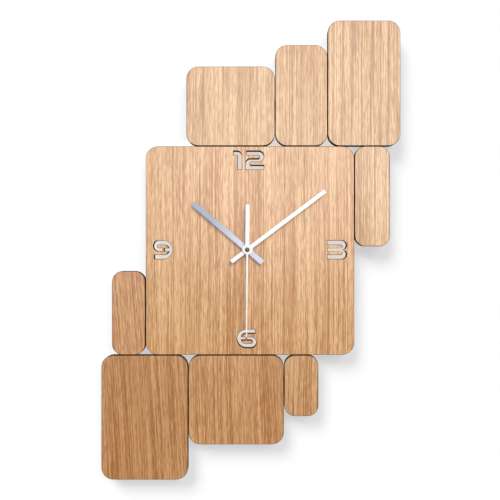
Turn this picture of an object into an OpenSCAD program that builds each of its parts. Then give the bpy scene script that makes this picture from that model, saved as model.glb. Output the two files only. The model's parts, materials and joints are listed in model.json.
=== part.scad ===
// Wall clock of nine oak panels around a square dial, with a battery quartz movement.
// The drawing is made as seen from the front: x to the right, y up, z out of the wall.
// The last step turns it so that Z is up and the dial faces -Y.

/* [Panels] */
// Side of the square dial panel
dial_size = 272; // [220:1:330]
// Gap between neighbouring panels
panel_gap = 0.7; // [0.5:0.1:2]
// Thickness of every panel
panel_t = 10; // [8:0.1:14]
// Corner radius of the dial and the wide panels
panel_r = 15.8; // [6:0.1:18]
// Corner radius of the narrow panels
narrow_r = 14; // [6:0.1:17]
// From the dial's left edge to the left edge of the top row
top_row_inset = 53; // [40:0.5:60]
// Width of the top left panel
top_left_w = 115.4; // [95:0.1:140]
// Height of the top left panel
top_left_h = 103.4; // [85:0.1:125]
// Width of the top middle panel
top_middle_w = 67.9; // [55:0.1:82]
// Height of the top middle panel
top_middle_h = 131.4; // [105:0.1:160]
// Width of the top right panel
top_right_w = 94.5; // [78:0.1:115]
// Height of the top right panel
top_right_h = 163.4; // [130:0.1:200]
// Width of the side panel on the right
right_w = 45.9; // [37:0.1:56]
// Height of the side panel on the right
right_h = 130.5; // [105:0.5:134]
// Width of the side panel on the left
left_w = 43.4; // [35:0.1:52]
// Height of the side panel on the left
left_h = 109; // [85:0.5:132]
// From the dial's right edge to the right edge of the bottom row
bottom_row_inset = 46.8; // [38:0.1:56]
// Width of the bottom right panel
bottom_right_w = 44.4; // [36:0.1:53]
// Height of the bottom right panel
bottom_right_h = 79.4; // [68:0.1:96]
// Width of the bottom middle panel
bottom_middle_w = 124.4; // [102:0.1:150]
// Height of the bottom middle panel
bottom_middle_h = 116.4; // [90:0.1:140]
// Width of the bottom left panel
bottom_left_w = 113; // [92:0.1:136]
// Height of the bottom left panel
bottom_left_h = 162.4; // [130:0.1:196]

/* [Numerals] */
// Height of the numerals
digit_h = 24; // [20:0.2:29]
// Width of the outer strokes
stroke = 5.2; // [4.4:0.1:6.2]
// Width of the middle strokes
middle_stroke = 3.8; // [3.2:0.1:4.6]
// Width of the 1
one_w = 10.8; // [9:0.1:13]
// Width of the 2
two_w = 24; // [20:0.1:29]
// Width of the 3, 6 and 9
round_w = 25; // [21:0.1:30]
// Space between the 1 and the 2
digit_space = 5; // [3:0.1:6]
// Width of the wooden bridge that holds the middle of the 6 and 9
bridge_w = 1.9; // [1.4:0.1:2.4]
// From the dial's top edge to the top of the 12
twelve_margin = 6; // [4:0.1:9]
// From the dial's side edges to the 3 and the 9
side_margin = 9.8; // [6:0.1:12]
// From the dial's lower edge to the 6
six_margin = 8.8; // [6:0.1:12]
// Sideways place of the 12 from the hand axis
twelve_shift = 1.8; // [-3:0.1:3]
// Sideways place of the 6 from the hand axis
six_shift = -0.8; // [-3:0.1:3]

/* [Hands] */
// Sideways place of the hand axis from the dial's middle
arbor_x = -3.5; // [-6:0.1:6]
// Height of the hand axis above the dial's middle
arbor_y = 1; // [-6:0.1:6]
// Length of the hour hand from the axis
hour_len = 92.5; // [75:0.1:112]
// Width of the hour hand
hour_w = 7; // [6:0.1:9]
// Length of the minute hand from the axis
minute_len = 126.2; // [105:0.1:153]
// Width of the minute hand
minute_w = 5.4; // [4.5:0.1:6.6]
// Length of the tails of the hour and minute hands
tail_len = 26; // [18:0.1:31]
// Length of the second hand from the axis
second_len = 112.7; // [92:0.1:135]
// Width of the second hand at the axis
second_w = 2.4; // [1.8:0.1:3.2]
// Width of the second hand at its tip
second_tip_w = 1.4; // [1:0.1:2]
// Length of the second hand's tail
second_tail_len = 58; // [45:0.5:70]
// Width of the second hand's tail
second_tail_w = 5.2; // [4:0.1:6.4]
// Thickness of the hour and minute hands
hand_t = 0.6; // [0.5:0.1:0.8]
// Thickness of the second hand
second_t = 0.4; // [0.3:0.1:0.5]
// Clockwise angle of the hour hand from 12
hour_angle = 310.5; // [0:0.5:359.5]
// Clockwise angle of the minute hand from 12
minute_angle = 53; // [0:0.5:359.5]
// Clockwise angle of the second hand from 12
second_angle = 180.5; // [0:0.5:359.5]

/* [Back frame] */
// Width of the upright rails and the arms
rail_w = 22; // [18:1:26]
// Width of the cross rails
cross_rail_w = 26; // [22:1:32]
// From the edge of the top row to the upper cross rail's middle
upper_rail_rise = 48.4; // [40:0.1:58]
// From the edge of the bottom row to the lower cross rail's middle
lower_rail_drop = 40.4; // [34:0.1:46]
// Thickness of the rubber wall pads
pad_t = 3; // [2:0.1:4]
// Radius of the rubber wall pads
pad_r = 7; // [5:0.5:9]
// Depth that a rail screw bites into a panel
screw_bite = 6.5; // [5:0.1:7]
// Radius of a rail screw's shank
screw_r = 1.75; // [1.5:0.05:2.1]

/* [Hanger] */
// Radius of the keyhole's round entry
keyhole_r = 4.5; // [3.5:0.1:5.4]
// Width of the keyhole's slot
keyhole_slot_w = 4.6; // [3.8:0.1:5.5]
// Travel of the keyhole's slot above the entry
keyhole_rise = 8; // [7:0.5:9]
// Width of the hanger plate
hanger_w = 40; // [36:1:48]
// Height of the hanger plate
hanger_h = 24; // [22:0.5:26]
// Thickness of the hanger plate
hanger_t = 1.5; // [1.2:0.1:1.8]

/* [Movement] */
// Least width of the movement case, for its wheels
wheel_space_w = 56; // [56:0.5:68]
// From the hand axis to the top of the case
case_top = 18; // [17.5:0.1:22]
// From the hand axis down to the floor of the wheel space
wheel_floor = 20.6; // [20.4:0.1:25]
// Wall of the case
case_wall = 1.2; // [1:0.1:1.4]
// Diameter of the battery
battery_d = 14.5; // [12:0.1:17.5]
// Length of the battery with its button
battery_len = 50.5; // [42:0.1:61]
// Wood left at the bottom of the movement's pocket
dial_web = 4; // [3:0.1:5]
// Thickness of the rubber washer
rubber_t = 1; // [0.8:0.1:1.4]
// Radius of the bushing's thread
bushing_r = 4; // [3.9:0.1:4.8]
// Radius of the hour tube
hour_tube_r = 2.5; // [2.4:0.05:3]
// Radius of the minute tube
minute_tube_r = 1.6; // [1.4:0.05:1.65]
// Radius of the train's steel arbors
arbor_r = 0.5; // [0.4:0.02:0.6]
// Radial clearance of every running fit
run_gap = 0.05; // [0.03:0.01:0.08]
// Clearance between the wall and the setting knob
wall_gap = 2; // [1.5:0.1:4]

/* [Wheel train] */
// Tooth module of the seconds wheel and the intermediate pinion
seconds_module = 0.3; // [0.29:0.005:0.31]
// Tooth module of the intermediate wheel and the rotor pinion
rotor_module = 0.26; // [0.23:0.005:0.27]
// Tooth module of the motion work
motion_module = 0.35; // [0.33:0.005:0.36]
// Play between meshing teeth
backlash = 0.06; // [0.05:0.01:0.08]

/* [Hidden] */
$fn = 96;

// Play between pieces that are screwed or pressed together
fit_gap = 0.05;
// Cutters reach this far past a face
cut = 1;

// Panel outlines: left edge, lower edge, width, height
row_edge = dial_size / 2 + panel_gap;
top_left_x = -dial_size / 2 + top_row_inset;
top_middle_x = top_left_x + top_left_w + panel_gap;
top_right_x = top_middle_x + top_middle_w + panel_gap;
bottom_right_x = dial_size / 2 - bottom_row_inset - bottom_right_w;
bottom_middle_x = bottom_right_x - panel_gap - bottom_middle_w;
bottom_left_x = bottom_middle_x - panel_gap - bottom_left_w;
DIAL = [-dial_size / 2, -dial_size / 2, dial_size, dial_size];
TOP_LEFT = [top_left_x, row_edge, top_left_w, top_left_h];
TOP_MIDDLE = [top_middle_x, row_edge, top_middle_w, top_middle_h];
TOP_RIGHT = [top_right_x, row_edge, top_right_w, top_right_h];
RIGHT = [row_edge, dial_size / 2 - right_h, right_w, right_h];
LEFT = [-row_edge - left_w, -dial_size / 2, left_w, left_h];
BOTTOM_LEFT = [bottom_left_x, -row_edge - bottom_left_h, bottom_left_w, bottom_left_h];
BOTTOM_MIDDLE = [bottom_middle_x, -row_edge - bottom_middle_h, bottom_middle_w, bottom_middle_h];
BOTTOM_RIGHT = [bottom_right_x, -row_edge - bottom_right_h, bottom_right_w, bottom_right_h];
function left_of(p) = p[0];
function right_of(p) = p[0] + p[2];
function mid_x(p) = p[0] + p[2] / 2;
function mid_y(p) = p[1] + p[3] / 2;

// Depths out of the wall. The rails are as thick as the movement needs.
knob_play = 0.2;
knob_t = 1.8;
battery_play = 0.15;
cover_t = case_wall;
case_depth = case_wall + battery_d + 2 * battery_play;
case_back_z = wall_gap + knob_t + knob_play;
case_front_z = case_back_z + case_depth;
web_z = case_front_z + rubber_t;
front_z = web_z + dial_web;
back_z = front_z - panel_t;
rail_t = back_z - pad_t;

// Movement case, measured from the hand axis; depths count back from the case's front face
bay_floor = wheel_floor + case_wall;
case_bottom = bay_floor + battery_d + 2 * battery_play + 2 * fit_gap + case_wall;
contact_t = 0.4;
leaf_room = 2.2;
case_w = max(wheel_space_w, battery_len + leaf_room + 2 * contact_t + 2 * case_wall + 0.1);
case_r = 3;
pocket_play = 1.5;
movement_x0 = arbor_x - case_w / 2 - pocket_play;
in_x = case_w / 2 - case_wall;
in_top = case_top - case_wall;
cover_level = case_depth - cover_t;
bearing_level = 13.6;
battery_y = -bay_floor - fit_gap - battery_play - battery_d / 2;
battery_level = case_wall + battery_play + battery_d / 2;
battery_button = 1;
battery_plus_x = in_x - contact_t - 0.1;
battery_minus_x = battery_plus_x - battery_len;

// Back frame. The left rail stands clear of the movement.
left_rail_x = min(max(left_of(TOP_LEFT), left_of(BOTTOM_MIDDLE)) + 24, movement_x0 - rail_w / 2 - 4);
right_rail_x = mid_x(BOTTOM_RIGHT);
upper_y = row_edge + upper_rail_rise;
lower_y = -row_edge - lower_rail_drop;
rail_end = 4;
arm_stop = 8;
lap_play = 0.1;
hanger_x = 0;
upper_x0 = left_of(TOP_LEFT) + rail_end;
upper_x1 = right_of(TOP_RIGHT) - rail_end;
lower_x0 = left_of(BOTTOM_LEFT) + rail_end;
lower_x1 = right_of(BOTTOM_RIGHT) - rail_end;
right_arm_x0 = right_rail_x + rail_w / 2 + arm_stop;
right_arm_x1 = right_of(RIGHT) - rail_end;
left_arm_x0 = left_of(LEFT) + rail_end;
left_arm_x1 = left_rail_x - rail_w / 2 - arm_stop;

// Screws through the rails: from a panel's edge, and along the dial
edge_in = 13;
screw_head_r = 2 * screw_r;
pilot_r = 0.75 * screw_r;
dial_screw_y = dial_size / 2 - 30;
hanger_clear = 8;
SCREWS = [
  [left_rail_x, upper_y],
  [hanger_x - hanger_w / 2 - hanger_clear, upper_y],
  [max(left_of(TOP_MIDDLE) + edge_in, hanger_x + hanger_w / 2 + hanger_clear), upper_y],
  [right_of(TOP_MIDDLE) - edge_in, upper_y],
  [left_of(TOP_RIGHT) + edge_in, upper_y],
  [right_of(TOP_RIGHT) - 32, upper_y],
  [left_of(BOTTOM_LEFT) + 32, lower_y],
  [right_of(BOTTOM_LEFT) - edge_in, lower_y],
  [left_rail_x, lower_y],
  [right_of(BOTTOM_MIDDLE) - edge_in, lower_y],
  [right_rail_x, lower_y],
  [right_rail_x, -row_edge - edge_in],
  for (y = [-dial_screw_y, 0, dial_screw_y]) [left_rail_x, y],
  for (y = [-dial_screw_y, 0, dial_screw_y]) [right_rail_x, y],
  [right_arm_x0 + 12, mid_y(RIGHT)],
  [dial_size / 2 - edge_in, mid_y(RIGHT)],
  [left_of(RIGHT) + edge_in, mid_y(RIGHT)],
  [right_of(RIGHT) - edge_in, mid_y(RIGHT)],
  [left_arm_x1 - 12, mid_y(LEFT)],
  [-dial_size / 2 + edge_in, mid_y(LEFT)],
  [right_of(LEFT) - edge_in, mid_y(LEFT)],
  [left_of(LEFT) + edge_in, mid_y(LEFT)],
];
PADS = [
  [upper_x0 + pad_r, upper_y], [upper_x1 - pad_r, upper_y],
  [lower_x0 + pad_r, lower_y], [lower_x1 - pad_r, lower_y],
];

// Hanger plate and its screws
hanger_screw_x = hanger_w / 2 - 5.5;
hanger_screw_r = 1.5;
hanger_screw_len = 10;
head_room_r = keyhole_r + 1;
head_room = 6;

// Teeth of the train
rotor_teeth = 10;
intermediate_teeth = 60;
intermediate_pinion_teeth = 10;
seconds_teeth = 50;
seconds_pinion_teeth = 8;
third_teeth = 64;
third_pinion_teeth = 8;
minute_teeth = 60;
cannon_teeth = 12;
motion_teeth = 36;
motion_pinion_teeth = 10;
hour_teeth = 40;
knob_teeth = 18;
function pair_dist(m, a, b) = m * (a + b) / 2;
function pair_module(dist, a, b) = 2 * dist / (a + b);
function polar(r, a) = [r * cos(a), r * sin(a)];

// Where each arbor stands, from the hand axis
third_dir = 180;
intermediate_dir = -20;
rotor_dir = -60;
motion_dir = 90;
knob_dir = 10;
third_module = seconds_module;
third_dist = pair_dist(third_module, seconds_pinion_teeth, third_teeth);
minute_module = pair_module(third_dist, third_pinion_teeth, minute_teeth);
motion_dist = pair_dist(motion_module, cannon_teeth, motion_teeth);
hour_module = pair_module(motion_dist, motion_pinion_teeth, hour_teeth);
third_at = polar(third_dist, third_dir);
intermediate_at = polar(pair_dist(seconds_module, intermediate_pinion_teeth, seconds_teeth), intermediate_dir);
rotor_at = intermediate_at + polar(pair_dist(rotor_module, rotor_teeth, intermediate_teeth), rotor_dir);
motion_at = polar(motion_dist, motion_dir);
knob_at = motion_at + polar(pair_dist(motion_module, knob_teeth, motion_teeth), knob_dir);

// Angle of a tooth on gear b so that it meshes with gear a, which has a tooth at phase
function mesh_phase(phase, teeth_a, teeth_b, dir) =
  dir + 180 + 180 / teeth_b - (phase - dir) * teeth_a / teeth_b;
intermediate_phase = mesh_phase(0, seconds_teeth, intermediate_pinion_teeth, intermediate_dir);
rotor_phase = mesh_phase(0, intermediate_teeth, rotor_teeth, rotor_dir);
third_phase = mesh_phase(0, seconds_pinion_teeth, third_teeth, third_dir);
minute_phase = mesh_phase(0, third_pinion_teeth, minute_teeth, third_dir + 180);
motion_phase = mesh_phase(0, cannon_teeth, motion_teeth, motion_dir);
hour_phase = mesh_phase(0, motion_pinion_teeth, hour_teeth, motion_dir + 180);
knob_phase = mesh_phase(motion_phase, motion_teeth, knob_teeth, knob_dir);

// Levels of the wheels, behind the case's front face: front, back
HOUR_LEVEL = [1.6, 2.6];
MOTION_PINION_LEVEL = [1.5, 3.2];
MOTION_LEVEL = [3.2, 4];
CANNON_LEVEL = [3, 4.2];
MINUTE_LEVEL = [4.8, 5.6];
THIRD_PINION_LEVEL = [4.6, 5.9];
BRIDGE_LEVEL = [7, 8.2];
THIRD_LEVEL = [9, 9.8];
SECONDS_PINION_LEVEL = [8.8, 10.6];
SECONDS_LEVEL = [10.6, 11.4];
INTERMEDIATE_PINION_LEVEL = [10.4, 12.2];
INTERMEDIATE_LEVEL = [12.2, 13];
ROTOR_PINION_LEVEL = [12, 13.2];
MAGNET_LEVEL = [8.8, 11.2];
STATOR_LEVEL = [9.2, 10.2];
CORE_LEVEL = [10.2, 11.8];
STRIP_LEVEL = [9.2, 12];
arbor_end_level = 14.4;

// Heights in front of the dial
washer_t = 0.8;
nut_t = 2.5;
bushing_top = front_z + washer_t + nut_t + 0.7;
hour_z = bushing_top + 1;
hour_tube_top = hour_z + hand_t + 0.6;
minute_z = hour_tube_top + 1.6;
minute_nut_t = 0.8;
minute_tube_top = minute_z + hand_t + minute_nut_t + 0.2;
second_z = minute_tube_top + 0.8;
second_pipe_len = 0.6;
cap_t = 1.2;
cap_r = 3;

// Colours
OAK = [0.86, 0.68, 0.5];
RAIL_WOOD = [0.8, 0.7, 0.55];
STEEL = [0.7, 0.71, 0.73];
SILVER = [0.86, 0.87, 0.9];
BRASS = [0.82, 0.66, 0.34];
BLACK = [0.1, 0.1, 0.11];
WHITE = [0.92, 0.92, 0.9];
COPPER = [0.72, 0.4, 0.22];

// Shared shapes

// Turns the drawing so that the hanger's keyhole is the origin and the dial faces -Y
module in_frame() {
  rotate([90, 0, 0])
    translate([-hanger_x, -upper_y, hanger_t - pad_t])
      children();
}

// Between two levels behind the movement case's front face, centred on the hand axis
module in_case(level) {
  translate([arbor_x, arbor_y, case_front_z - level[1]])
    linear_extrude(level[1] - level[0])
      children();
}

// In front of the dial, centred on the hand axis
module on_axis(z, t) {
  translate([arbor_x, arbor_y, z])
    linear_extrude(t)
      children();
}

module rounded_box(x, y, w, h, r) {
  translate([x + r, y])
    square([w - 2 * r, h]);
  translate([x, y + r])
    square([w, h - 2 * r]);
  for (cx = [x + r, x + w - r], cy = [y + r, y + h - r])
    translate([cx, cy])
      circle(r);
}

module ring(outer, inner) {
  difference() {
    circle(outer);
    circle(inner);
  }
}

// One involute gear with a tooth at the given angle
pressure_angle = 28;
addendum = 0.9;
dedendum = 1.15;
function involute(a) = tan(a) * 180 / PI - a;
function half_tooth(m, teeth, r) =
  let (pitch_r = m * teeth / 2, base_r = pitch_r * cos(pressure_angle))
    (PI * m / 2 - backlash) / 2 / pitch_r * 180 / PI + involute(pressure_angle)
      - involute(r > base_r ? acos(base_r / r) : 0);
function tooth_radii(m, teeth) =
  let (pitch_r = m * teeth / 2, root_r = pitch_r - dedendum * m, tip_r = pitch_r + addendum * m,
    base_r = pitch_r * cos(pressure_angle), low_r = max(root_r, base_r))
    [if (base_r > root_r) root_r, low_r, (low_r + tip_r) / 2, tip_r];

module gear(m, teeth, phase) {
  radii = tooth_radii(m, teeth);
  last = len(radii) - 1;
  polygon([
    for (i = [0:teeth - 1])
      let (middle = phase + i * 360 / teeth)
        each [
          for (r = radii) polar(r, middle - half_tooth(m, teeth, r)),
          for (k = [0:last]) polar(radii[last - k], middle + half_tooth(m, teeth, radii[last - k])),
        ]
  ]);
}

// Countersunk screw driven towards +z, its head's face at z = 0
module countersunk_screw(r, head_r, shank_len, core_r, core_len) {
  head_t = head_r - r;
  tip = core_r;
  difference() {
    rotate_extrude()
      polygon([
        [0, 0], [head_r, 0], [r, head_t], [r, shank_len], [core_r, shank_len],
        [core_r, shank_len + core_len - tip], [0, shank_len + core_len],
      ]);
    for (a = [0, 90])
      rotate(a)
        translate([-0.7 * head_r, -0.15 * head_r, -cut])
          cube([1.4 * head_r, 0.3 * head_r, cut + 0.8 * head_t]);
  }
}

// Hole for that screw
module screw_hole(r, head_r, shank_len, core_r, core_len) {
  head_t = head_r - r;
  rotate_extrude()
    polygon([
      [0, -cut], [head_r + fit_gap, -cut], [head_r + fit_gap, 0], [r + fit_gap, head_t],
      [r + fit_gap, shank_len], [core_r + fit_gap, shank_len], [core_r + fit_gap, shank_len + core_len + 0.5],
      [0, shank_len + core_len + 0.5],
    ]);
}

module rail_screw_holes() {
  for (p = SCREWS)
    translate([p[0], p[1], pad_t])
      screw_hole(screw_r, screw_head_r, rail_t, pilot_r, screw_bite);
}

// Panels

module panel(p, r = panel_r) {
  in_frame()
    difference() {
      translate([0, 0, back_z])
        linear_extrude(panel_t)
          rounded_box(p[0], p[1], p[2], p[3], r);
      rail_screw_holes();
      children();
    }
}

// Numerals, each with its lower left corner at the origin
counter = (digit_h - 2 * stroke - middle_stroke) / 2;
middle_y = stroke + counter;
upper_y0 = middle_y + middle_stroke;
loop_r = (digit_h - middle_y) / 2;
corner_r = stroke + 1;
big_r = digit_h / 2;

// Slot as high as the space between two strokes, with one round end
module slot_to_right(x0, x1, y) {
  translate([x0, y])
    square([x1 - x0 - counter / 2, counter]);
  translate([x1 - counter / 2, y + counter / 2])
    circle(counter / 2);
}

module slot_to_left(x0, x1, y) {
  translate([x0 + counter / 2, y])
    square([x1 - x0 - counter / 2, counter]);
  translate([x0 + counter / 2, y + counter / 2])
    circle(counter / 2);
}

module digit_1() {
  flag = one_w - corner_r;
  translate([0, digit_h - stroke])
    square([flag, stroke]);
  intersection() {
    translate([flag, digit_h - corner_r])
      ring(corner_r, corner_r - stroke);
    translate([flag, digit_h - corner_r])
      square([corner_r, corner_r]);
  }
  translate([one_w - stroke, 0])
    square([stroke, digit_h - corner_r]);
}

module digit_2() {
  upper_start = 1.2;
  difference() {
    union() {
      translate([upper_start, upper_y0])
        square([two_w - loop_r - upper_start, digit_h - upper_y0]);
      translate([corner_r, middle_y])
        square([two_w - loop_r - corner_r, digit_h - middle_y]);
      translate([two_w - loop_r, digit_h - loop_r])
        circle(loop_r);
    }
    slot_to_right(-cut, two_w - stroke, upper_y0);
  }
  difference() {
    union() {
      square([stroke, upper_y0 - corner_r]);
      translate([corner_r, upper_y0 - corner_r])
        circle(corner_r);
      square([two_w, stroke]);
    }
    slot_to_left(stroke, two_w + cut, stroke);
  }
}

// Half of a 3: a lobe with a slot that is open on the left
module lobe(slot_y) {
  r = digit_h / 4;
  difference() {
    union() {
      square([round_w - r, 2 * r]);
      translate([round_w - r, r])
        circle(r);
    }
    slot_to_right(-cut, round_w - stroke, slot_y);
  }
}

module digit_3() {
  lobe(stroke);
  translate([0, digit_h / 2])
    lobe(digit_h / 2 - stroke - counter);
}

module digit_9() {
  big_x = round_w - big_r;
  inner_r = big_r - stroke;
  inner_x = round_w - (stroke + middle_stroke) / 2 - inner_r;
  lower_start = 1.3;
  bridge_at = round_w / 2 - 0.4;
  difference() {
    union() {
      translate([loop_r, middle_y])
        square([big_x - loop_r, digit_h - middle_y]);
      translate([loop_r, digit_h - loop_r])
        circle(loop_r);
      translate([lower_start, 0])
        square([big_x - lower_start, stroke]);
      intersection() {
        translate([big_x, big_r])
          circle(big_r);
        translate([big_x, 0])
          square([big_r, digit_h]);
      }
    }
    intersection() {
      union() {
        slot_to_left(loop_r - counter / 2, round_w, upper_y0);
        translate([-cut, stroke])
          square([round_w + cut, counter]);
      }
      union() {
        translate([-cut, big_r - inner_r])
          square([inner_x + cut, 2 * inner_r]);
        translate([inner_x, big_r])
          circle(inner_r);
      }
    }
    translate([bridge_at, middle_y - cut / 4])
      square([bridge_w, middle_stroke + cut / 2]);
  }
}

module numerals() {
  edge = dial_size / 2;
  middle_h = arbor_y - digit_h / 2;
  translate([arbor_x + twelve_shift - (one_w + digit_space + two_w) / 2, edge - twelve_margin - digit_h]) {
    digit_1();
    translate([one_w + digit_space, 0])
      digit_2();
  }
  translate([edge - side_margin - round_w, middle_h])
    digit_3();
  translate([-edge + side_margin, middle_h])
    digit_9();
  translate([arbor_x + six_shift + round_w / 2, -edge + six_margin + digit_h])
    rotate(180)
      digit_9();
}

module dial_panel() {
  color(OAK)
    panel(DIAL) {
      translate([0, 0, back_z - cut])
        linear_extrude(panel_t + 2 * cut)
          numerals();
      translate([arbor_x, arbor_y, back_z - cut])
        cylinder(r = bushing_r + fit_gap, h = panel_t + 2 * cut);
      translate([0, 0, back_z - cut])
        linear_extrude(web_z - back_z + cut)
          translate([arbor_x, arbor_y])
            rounded_box(-case_w / 2 - pocket_play, -case_bottom - pocket_play,
              case_w + 2 * pocket_play, case_bottom + case_top + 2 * pocket_play, case_r);
    }
}

module top_left_panel() { color(OAK) panel(TOP_LEFT); }
module top_middle_panel() { color(OAK) panel(TOP_MIDDLE); }
module top_right_panel() { color(OAK) panel(TOP_RIGHT); }
module right_panel() { color(OAK) panel(RIGHT, narrow_r); }
module left_panel() { color(OAK) panel(LEFT, narrow_r); }
module bottom_left_panel() { color(OAK) panel(BOTTOM_LEFT); }
module bottom_middle_panel() { color(OAK) panel(BOTTOM_MIDDLE); }
module bottom_right_panel() { color(OAK) panel(BOTTOM_RIGHT, narrow_r); }

// Back frame

module batten(x0, x1, y0, y1) {
  color(RAIL_WOOD)
    in_frame()
      difference() {
        translate([x0, y0, pad_t])
          cube([x1 - x0, y1 - y0, rail_t]);
        rail_screw_holes();
        children();
      }
}

// Half of a batten's thickness, cut away where another batten crosses it
module lap_notch(x, y, w, h, from_z) {
  translate([x - w / 2 - lap_play, y - h / 2 - lap_play, from_z])
    cube([w + 2 * lap_play, h + 2 * lap_play, rail_t / 2 + cut]);
}

module upright_rail(x) {
  batten(x - rail_w / 2, x + rail_w / 2, lower_y - cross_rail_w / 2, upper_y + cross_rail_w / 2)
    for (y = [lower_y, upper_y])
      lap_notch(x, y, rail_w + 2 * cut, cross_rail_w, pad_t - cut);
}

module left_rail() { upright_rail(left_rail_x); }
module right_rail() { upright_rail(right_rail_x); }

module cross_rail_notches(y) {
  for (x = [left_rail_x, right_rail_x])
    lap_notch(x, y, rail_w, cross_rail_w + 2 * cut, pad_t + rail_t / 2);
}

// Entry hole and the slot above it
module keyhole(entry_r, slot_w) {
  slot_end = keyhole_rise - keyhole_slot_w / 2;
  circle(entry_r);
  translate([-slot_w / 2, 0])
    square([slot_w, slot_end]);
  translate([0, slot_end])
    circle(slot_w / 2);
}

module upper_cross_rail() {
  batten(upper_x0, upper_x1, upper_y - cross_rail_w / 2, upper_y + cross_rail_w / 2) {
    cross_rail_notches(upper_y);
    translate([hanger_x, upper_y, pad_t - cut])
      linear_extrude(head_room + cut)
        keyhole(head_room_r, 2 * head_room_r);
    hanger_screw_places()
      screw_hole(hanger_screw_r, 2 * hanger_screw_r, hanger_t, 0.75 * hanger_screw_r,
        hanger_screw_len - hanger_t);
  }
}

module lower_cross_rail() {
  batten(lower_x0, lower_x1, lower_y - cross_rail_w / 2, lower_y + cross_rail_w / 2)
    cross_rail_notches(lower_y);
}

module right_arm() {
  batten(right_arm_x0, right_arm_x1, mid_y(RIGHT) - rail_w / 2, mid_y(RIGHT) + rail_w / 2);
}

module left_arm() {
  batten(left_arm_x0, left_arm_x1, mid_y(LEFT) - rail_w / 2, mid_y(LEFT) + rail_w / 2);
}

module rail_screws() {
  color(STEEL)
    in_frame()
      for (p = SCREWS)
        translate([p[0], p[1], pad_t])
          countersunk_screw(screw_r, screw_head_r, rail_t, pilot_r, screw_bite);
}

module wall_pads() {
  color(BLACK)
    in_frame()
      for (p = PADS)
        translate([p[0], p[1], 0])
          cylinder(r = pad_r, h = pad_t);
}

// Hanger

module hanger_screw_places() {
  for (side = [-1, 1])
    translate([hanger_x + side * hanger_screw_x, upper_y, pad_t - hanger_t])
      children();
}

module hanger_plate() {
  color(STEEL)
    in_frame()
      difference() {
        translate([hanger_x, upper_y, pad_t - hanger_t])
          linear_extrude(hanger_t)
            difference() {
              rounded_box(-hanger_w / 2, -hanger_h / 2, hanger_w, hanger_h, 3);
              keyhole(keyhole_r, keyhole_slot_w);
            }
        hanger_screw_places()
          screw_hole(hanger_screw_r, 2 * hanger_screw_r, hanger_t, 0.75 * hanger_screw_r, hanger_screw_len);
      }
}

module hanger_screws() {
  color(STEEL)
    in_frame()
      hanger_screw_places()
        countersunk_screw(hanger_screw_r, 2 * hanger_screw_r, hanger_t, 0.75 * hanger_screw_r,
          hanger_screw_len - hanger_t);
}

// Movement case

post_r = 1.8;
boss_r = 1.6;
POSTS = [for (x = [-22, 22], y = [-16.5, 13]) [x, y]];
motion_post_r = 0.8;
knob_shaft_r = 1;
flange_r = bushing_r + 1.5;
flange_t = 0.8;

module case_outline() {
  rounded_box(-case_w / 2, -case_bottom, case_w, case_bottom + case_top, case_r);
}

module movement_case() {
  color(BLACK)
    in_frame()
      union() {
        difference() {
          in_case([0, case_depth])
            case_outline();
          in_case([case_wall, case_depth + cut])
            translate([-in_x, -wheel_floor])
              square([2 * in_x, wheel_floor + in_top]);
          in_case([case_wall, case_depth + cut])
            translate([-in_x, -case_bottom + case_wall])
              square([2 * in_x, case_bottom - bay_floor - case_wall]);
          in_case([cover_level, case_depth + cut])
            translate([-case_w, -bay_floor])
              square([2 * case_w, bay_floor + case_top + cut]);
          in_case([STRIP_LEVEL[0] - 0.2, case_depth])
            for (side = [-1, 1])
              translate([side * (in_x - 0.5) - 0.5, -bay_floor - cut])
                square([1, case_wall + 2 * cut]);
          in_case([-cut, case_wall + cut])
            circle(bushing_r + fit_gap);
          in_case([case_wall - flange_t, case_wall + cut])
            circle(flange_r + fit_gap);
        }
        in_case([case_wall, BRIDGE_LEVEL[0]])
          for (p = POSTS)
            translate(p)
              circle(post_r);
        in_case([case_wall, MOTION_LEVEL[1] + 0.3])
          translate(motion_at)
            circle(motion_post_r);
        in_case([case_wall, THIRD_PINION_LEVEL[0] - 0.4])
          translate(third_at)
            ring(boss_r, arbor_r + run_gap);
        in_case([case_wall, MOTION_LEVEL[0] - 0.4])
          translate(knob_at)
            ring(knob_shaft_r + 0.9, knob_shaft_r + run_gap);
      }
}

lip_w = 1;
lip_depth = 1.5;

module movement_cover() {
  lip_x = in_x - fit_gap;
  lip_y = wheel_floor - fit_gap;
  lip_top = in_top - fit_gap;
  color(BLACK)
    in_frame()
      difference() {
        union() {
          in_case([cover_level, case_depth])
            intersection() {
              case_outline();
              translate([-case_w, -bay_floor])
                square([2 * case_w, bay_floor + case_top + cut]);
            }
          in_case([cover_level - lip_depth, cover_level])
            difference() {
              translate([-lip_x, -lip_y])
                square([2 * lip_x, lip_y + lip_top]);
              translate([-lip_x + lip_w, -lip_y + lip_w])
                square([2 * (lip_x - lip_w), lip_y + lip_top - 2 * lip_w]);
            }
          in_case([bearing_level, cover_level])
            for (p = [[0, 0], third_at, intermediate_at, rotor_at])
              translate(p)
                circle(boss_r);
        }
        in_case([bearing_level - cut, arbor_end_level + 0.2])
          for (p = [[0, 0], third_at, intermediate_at, rotor_at])
            translate(p)
              circle(arbor_r + run_gap);
        in_case([cover_level - cut, case_depth + cut])
          translate(knob_at)
            circle(knob_shaft_r + run_gap);
      }
}

module threaded_bushing() {
  color(BRASS)
    in_frame()
      difference() {
        union() {
          translate([arbor_x, arbor_y, case_front_z - case_wall])
            cylinder(r = flange_r, h = flange_t);
          translate([arbor_x, arbor_y, case_front_z - case_wall])
            cylinder(r = bushing_r, h = bushing_top - case_front_z + case_wall);
        }
        translate([arbor_x, arbor_y, case_front_z - case_wall - cut])
          cylinder(r = hour_tube_r + run_gap, h = bushing_top - case_front_z + case_wall + 2 * cut);
      }
}

module rubber_washer() {
  color(BLACK)
    in_frame()
      on_axis(case_front_z, rubber_t)
        ring(12, bushing_r + fit_gap);
}

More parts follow.
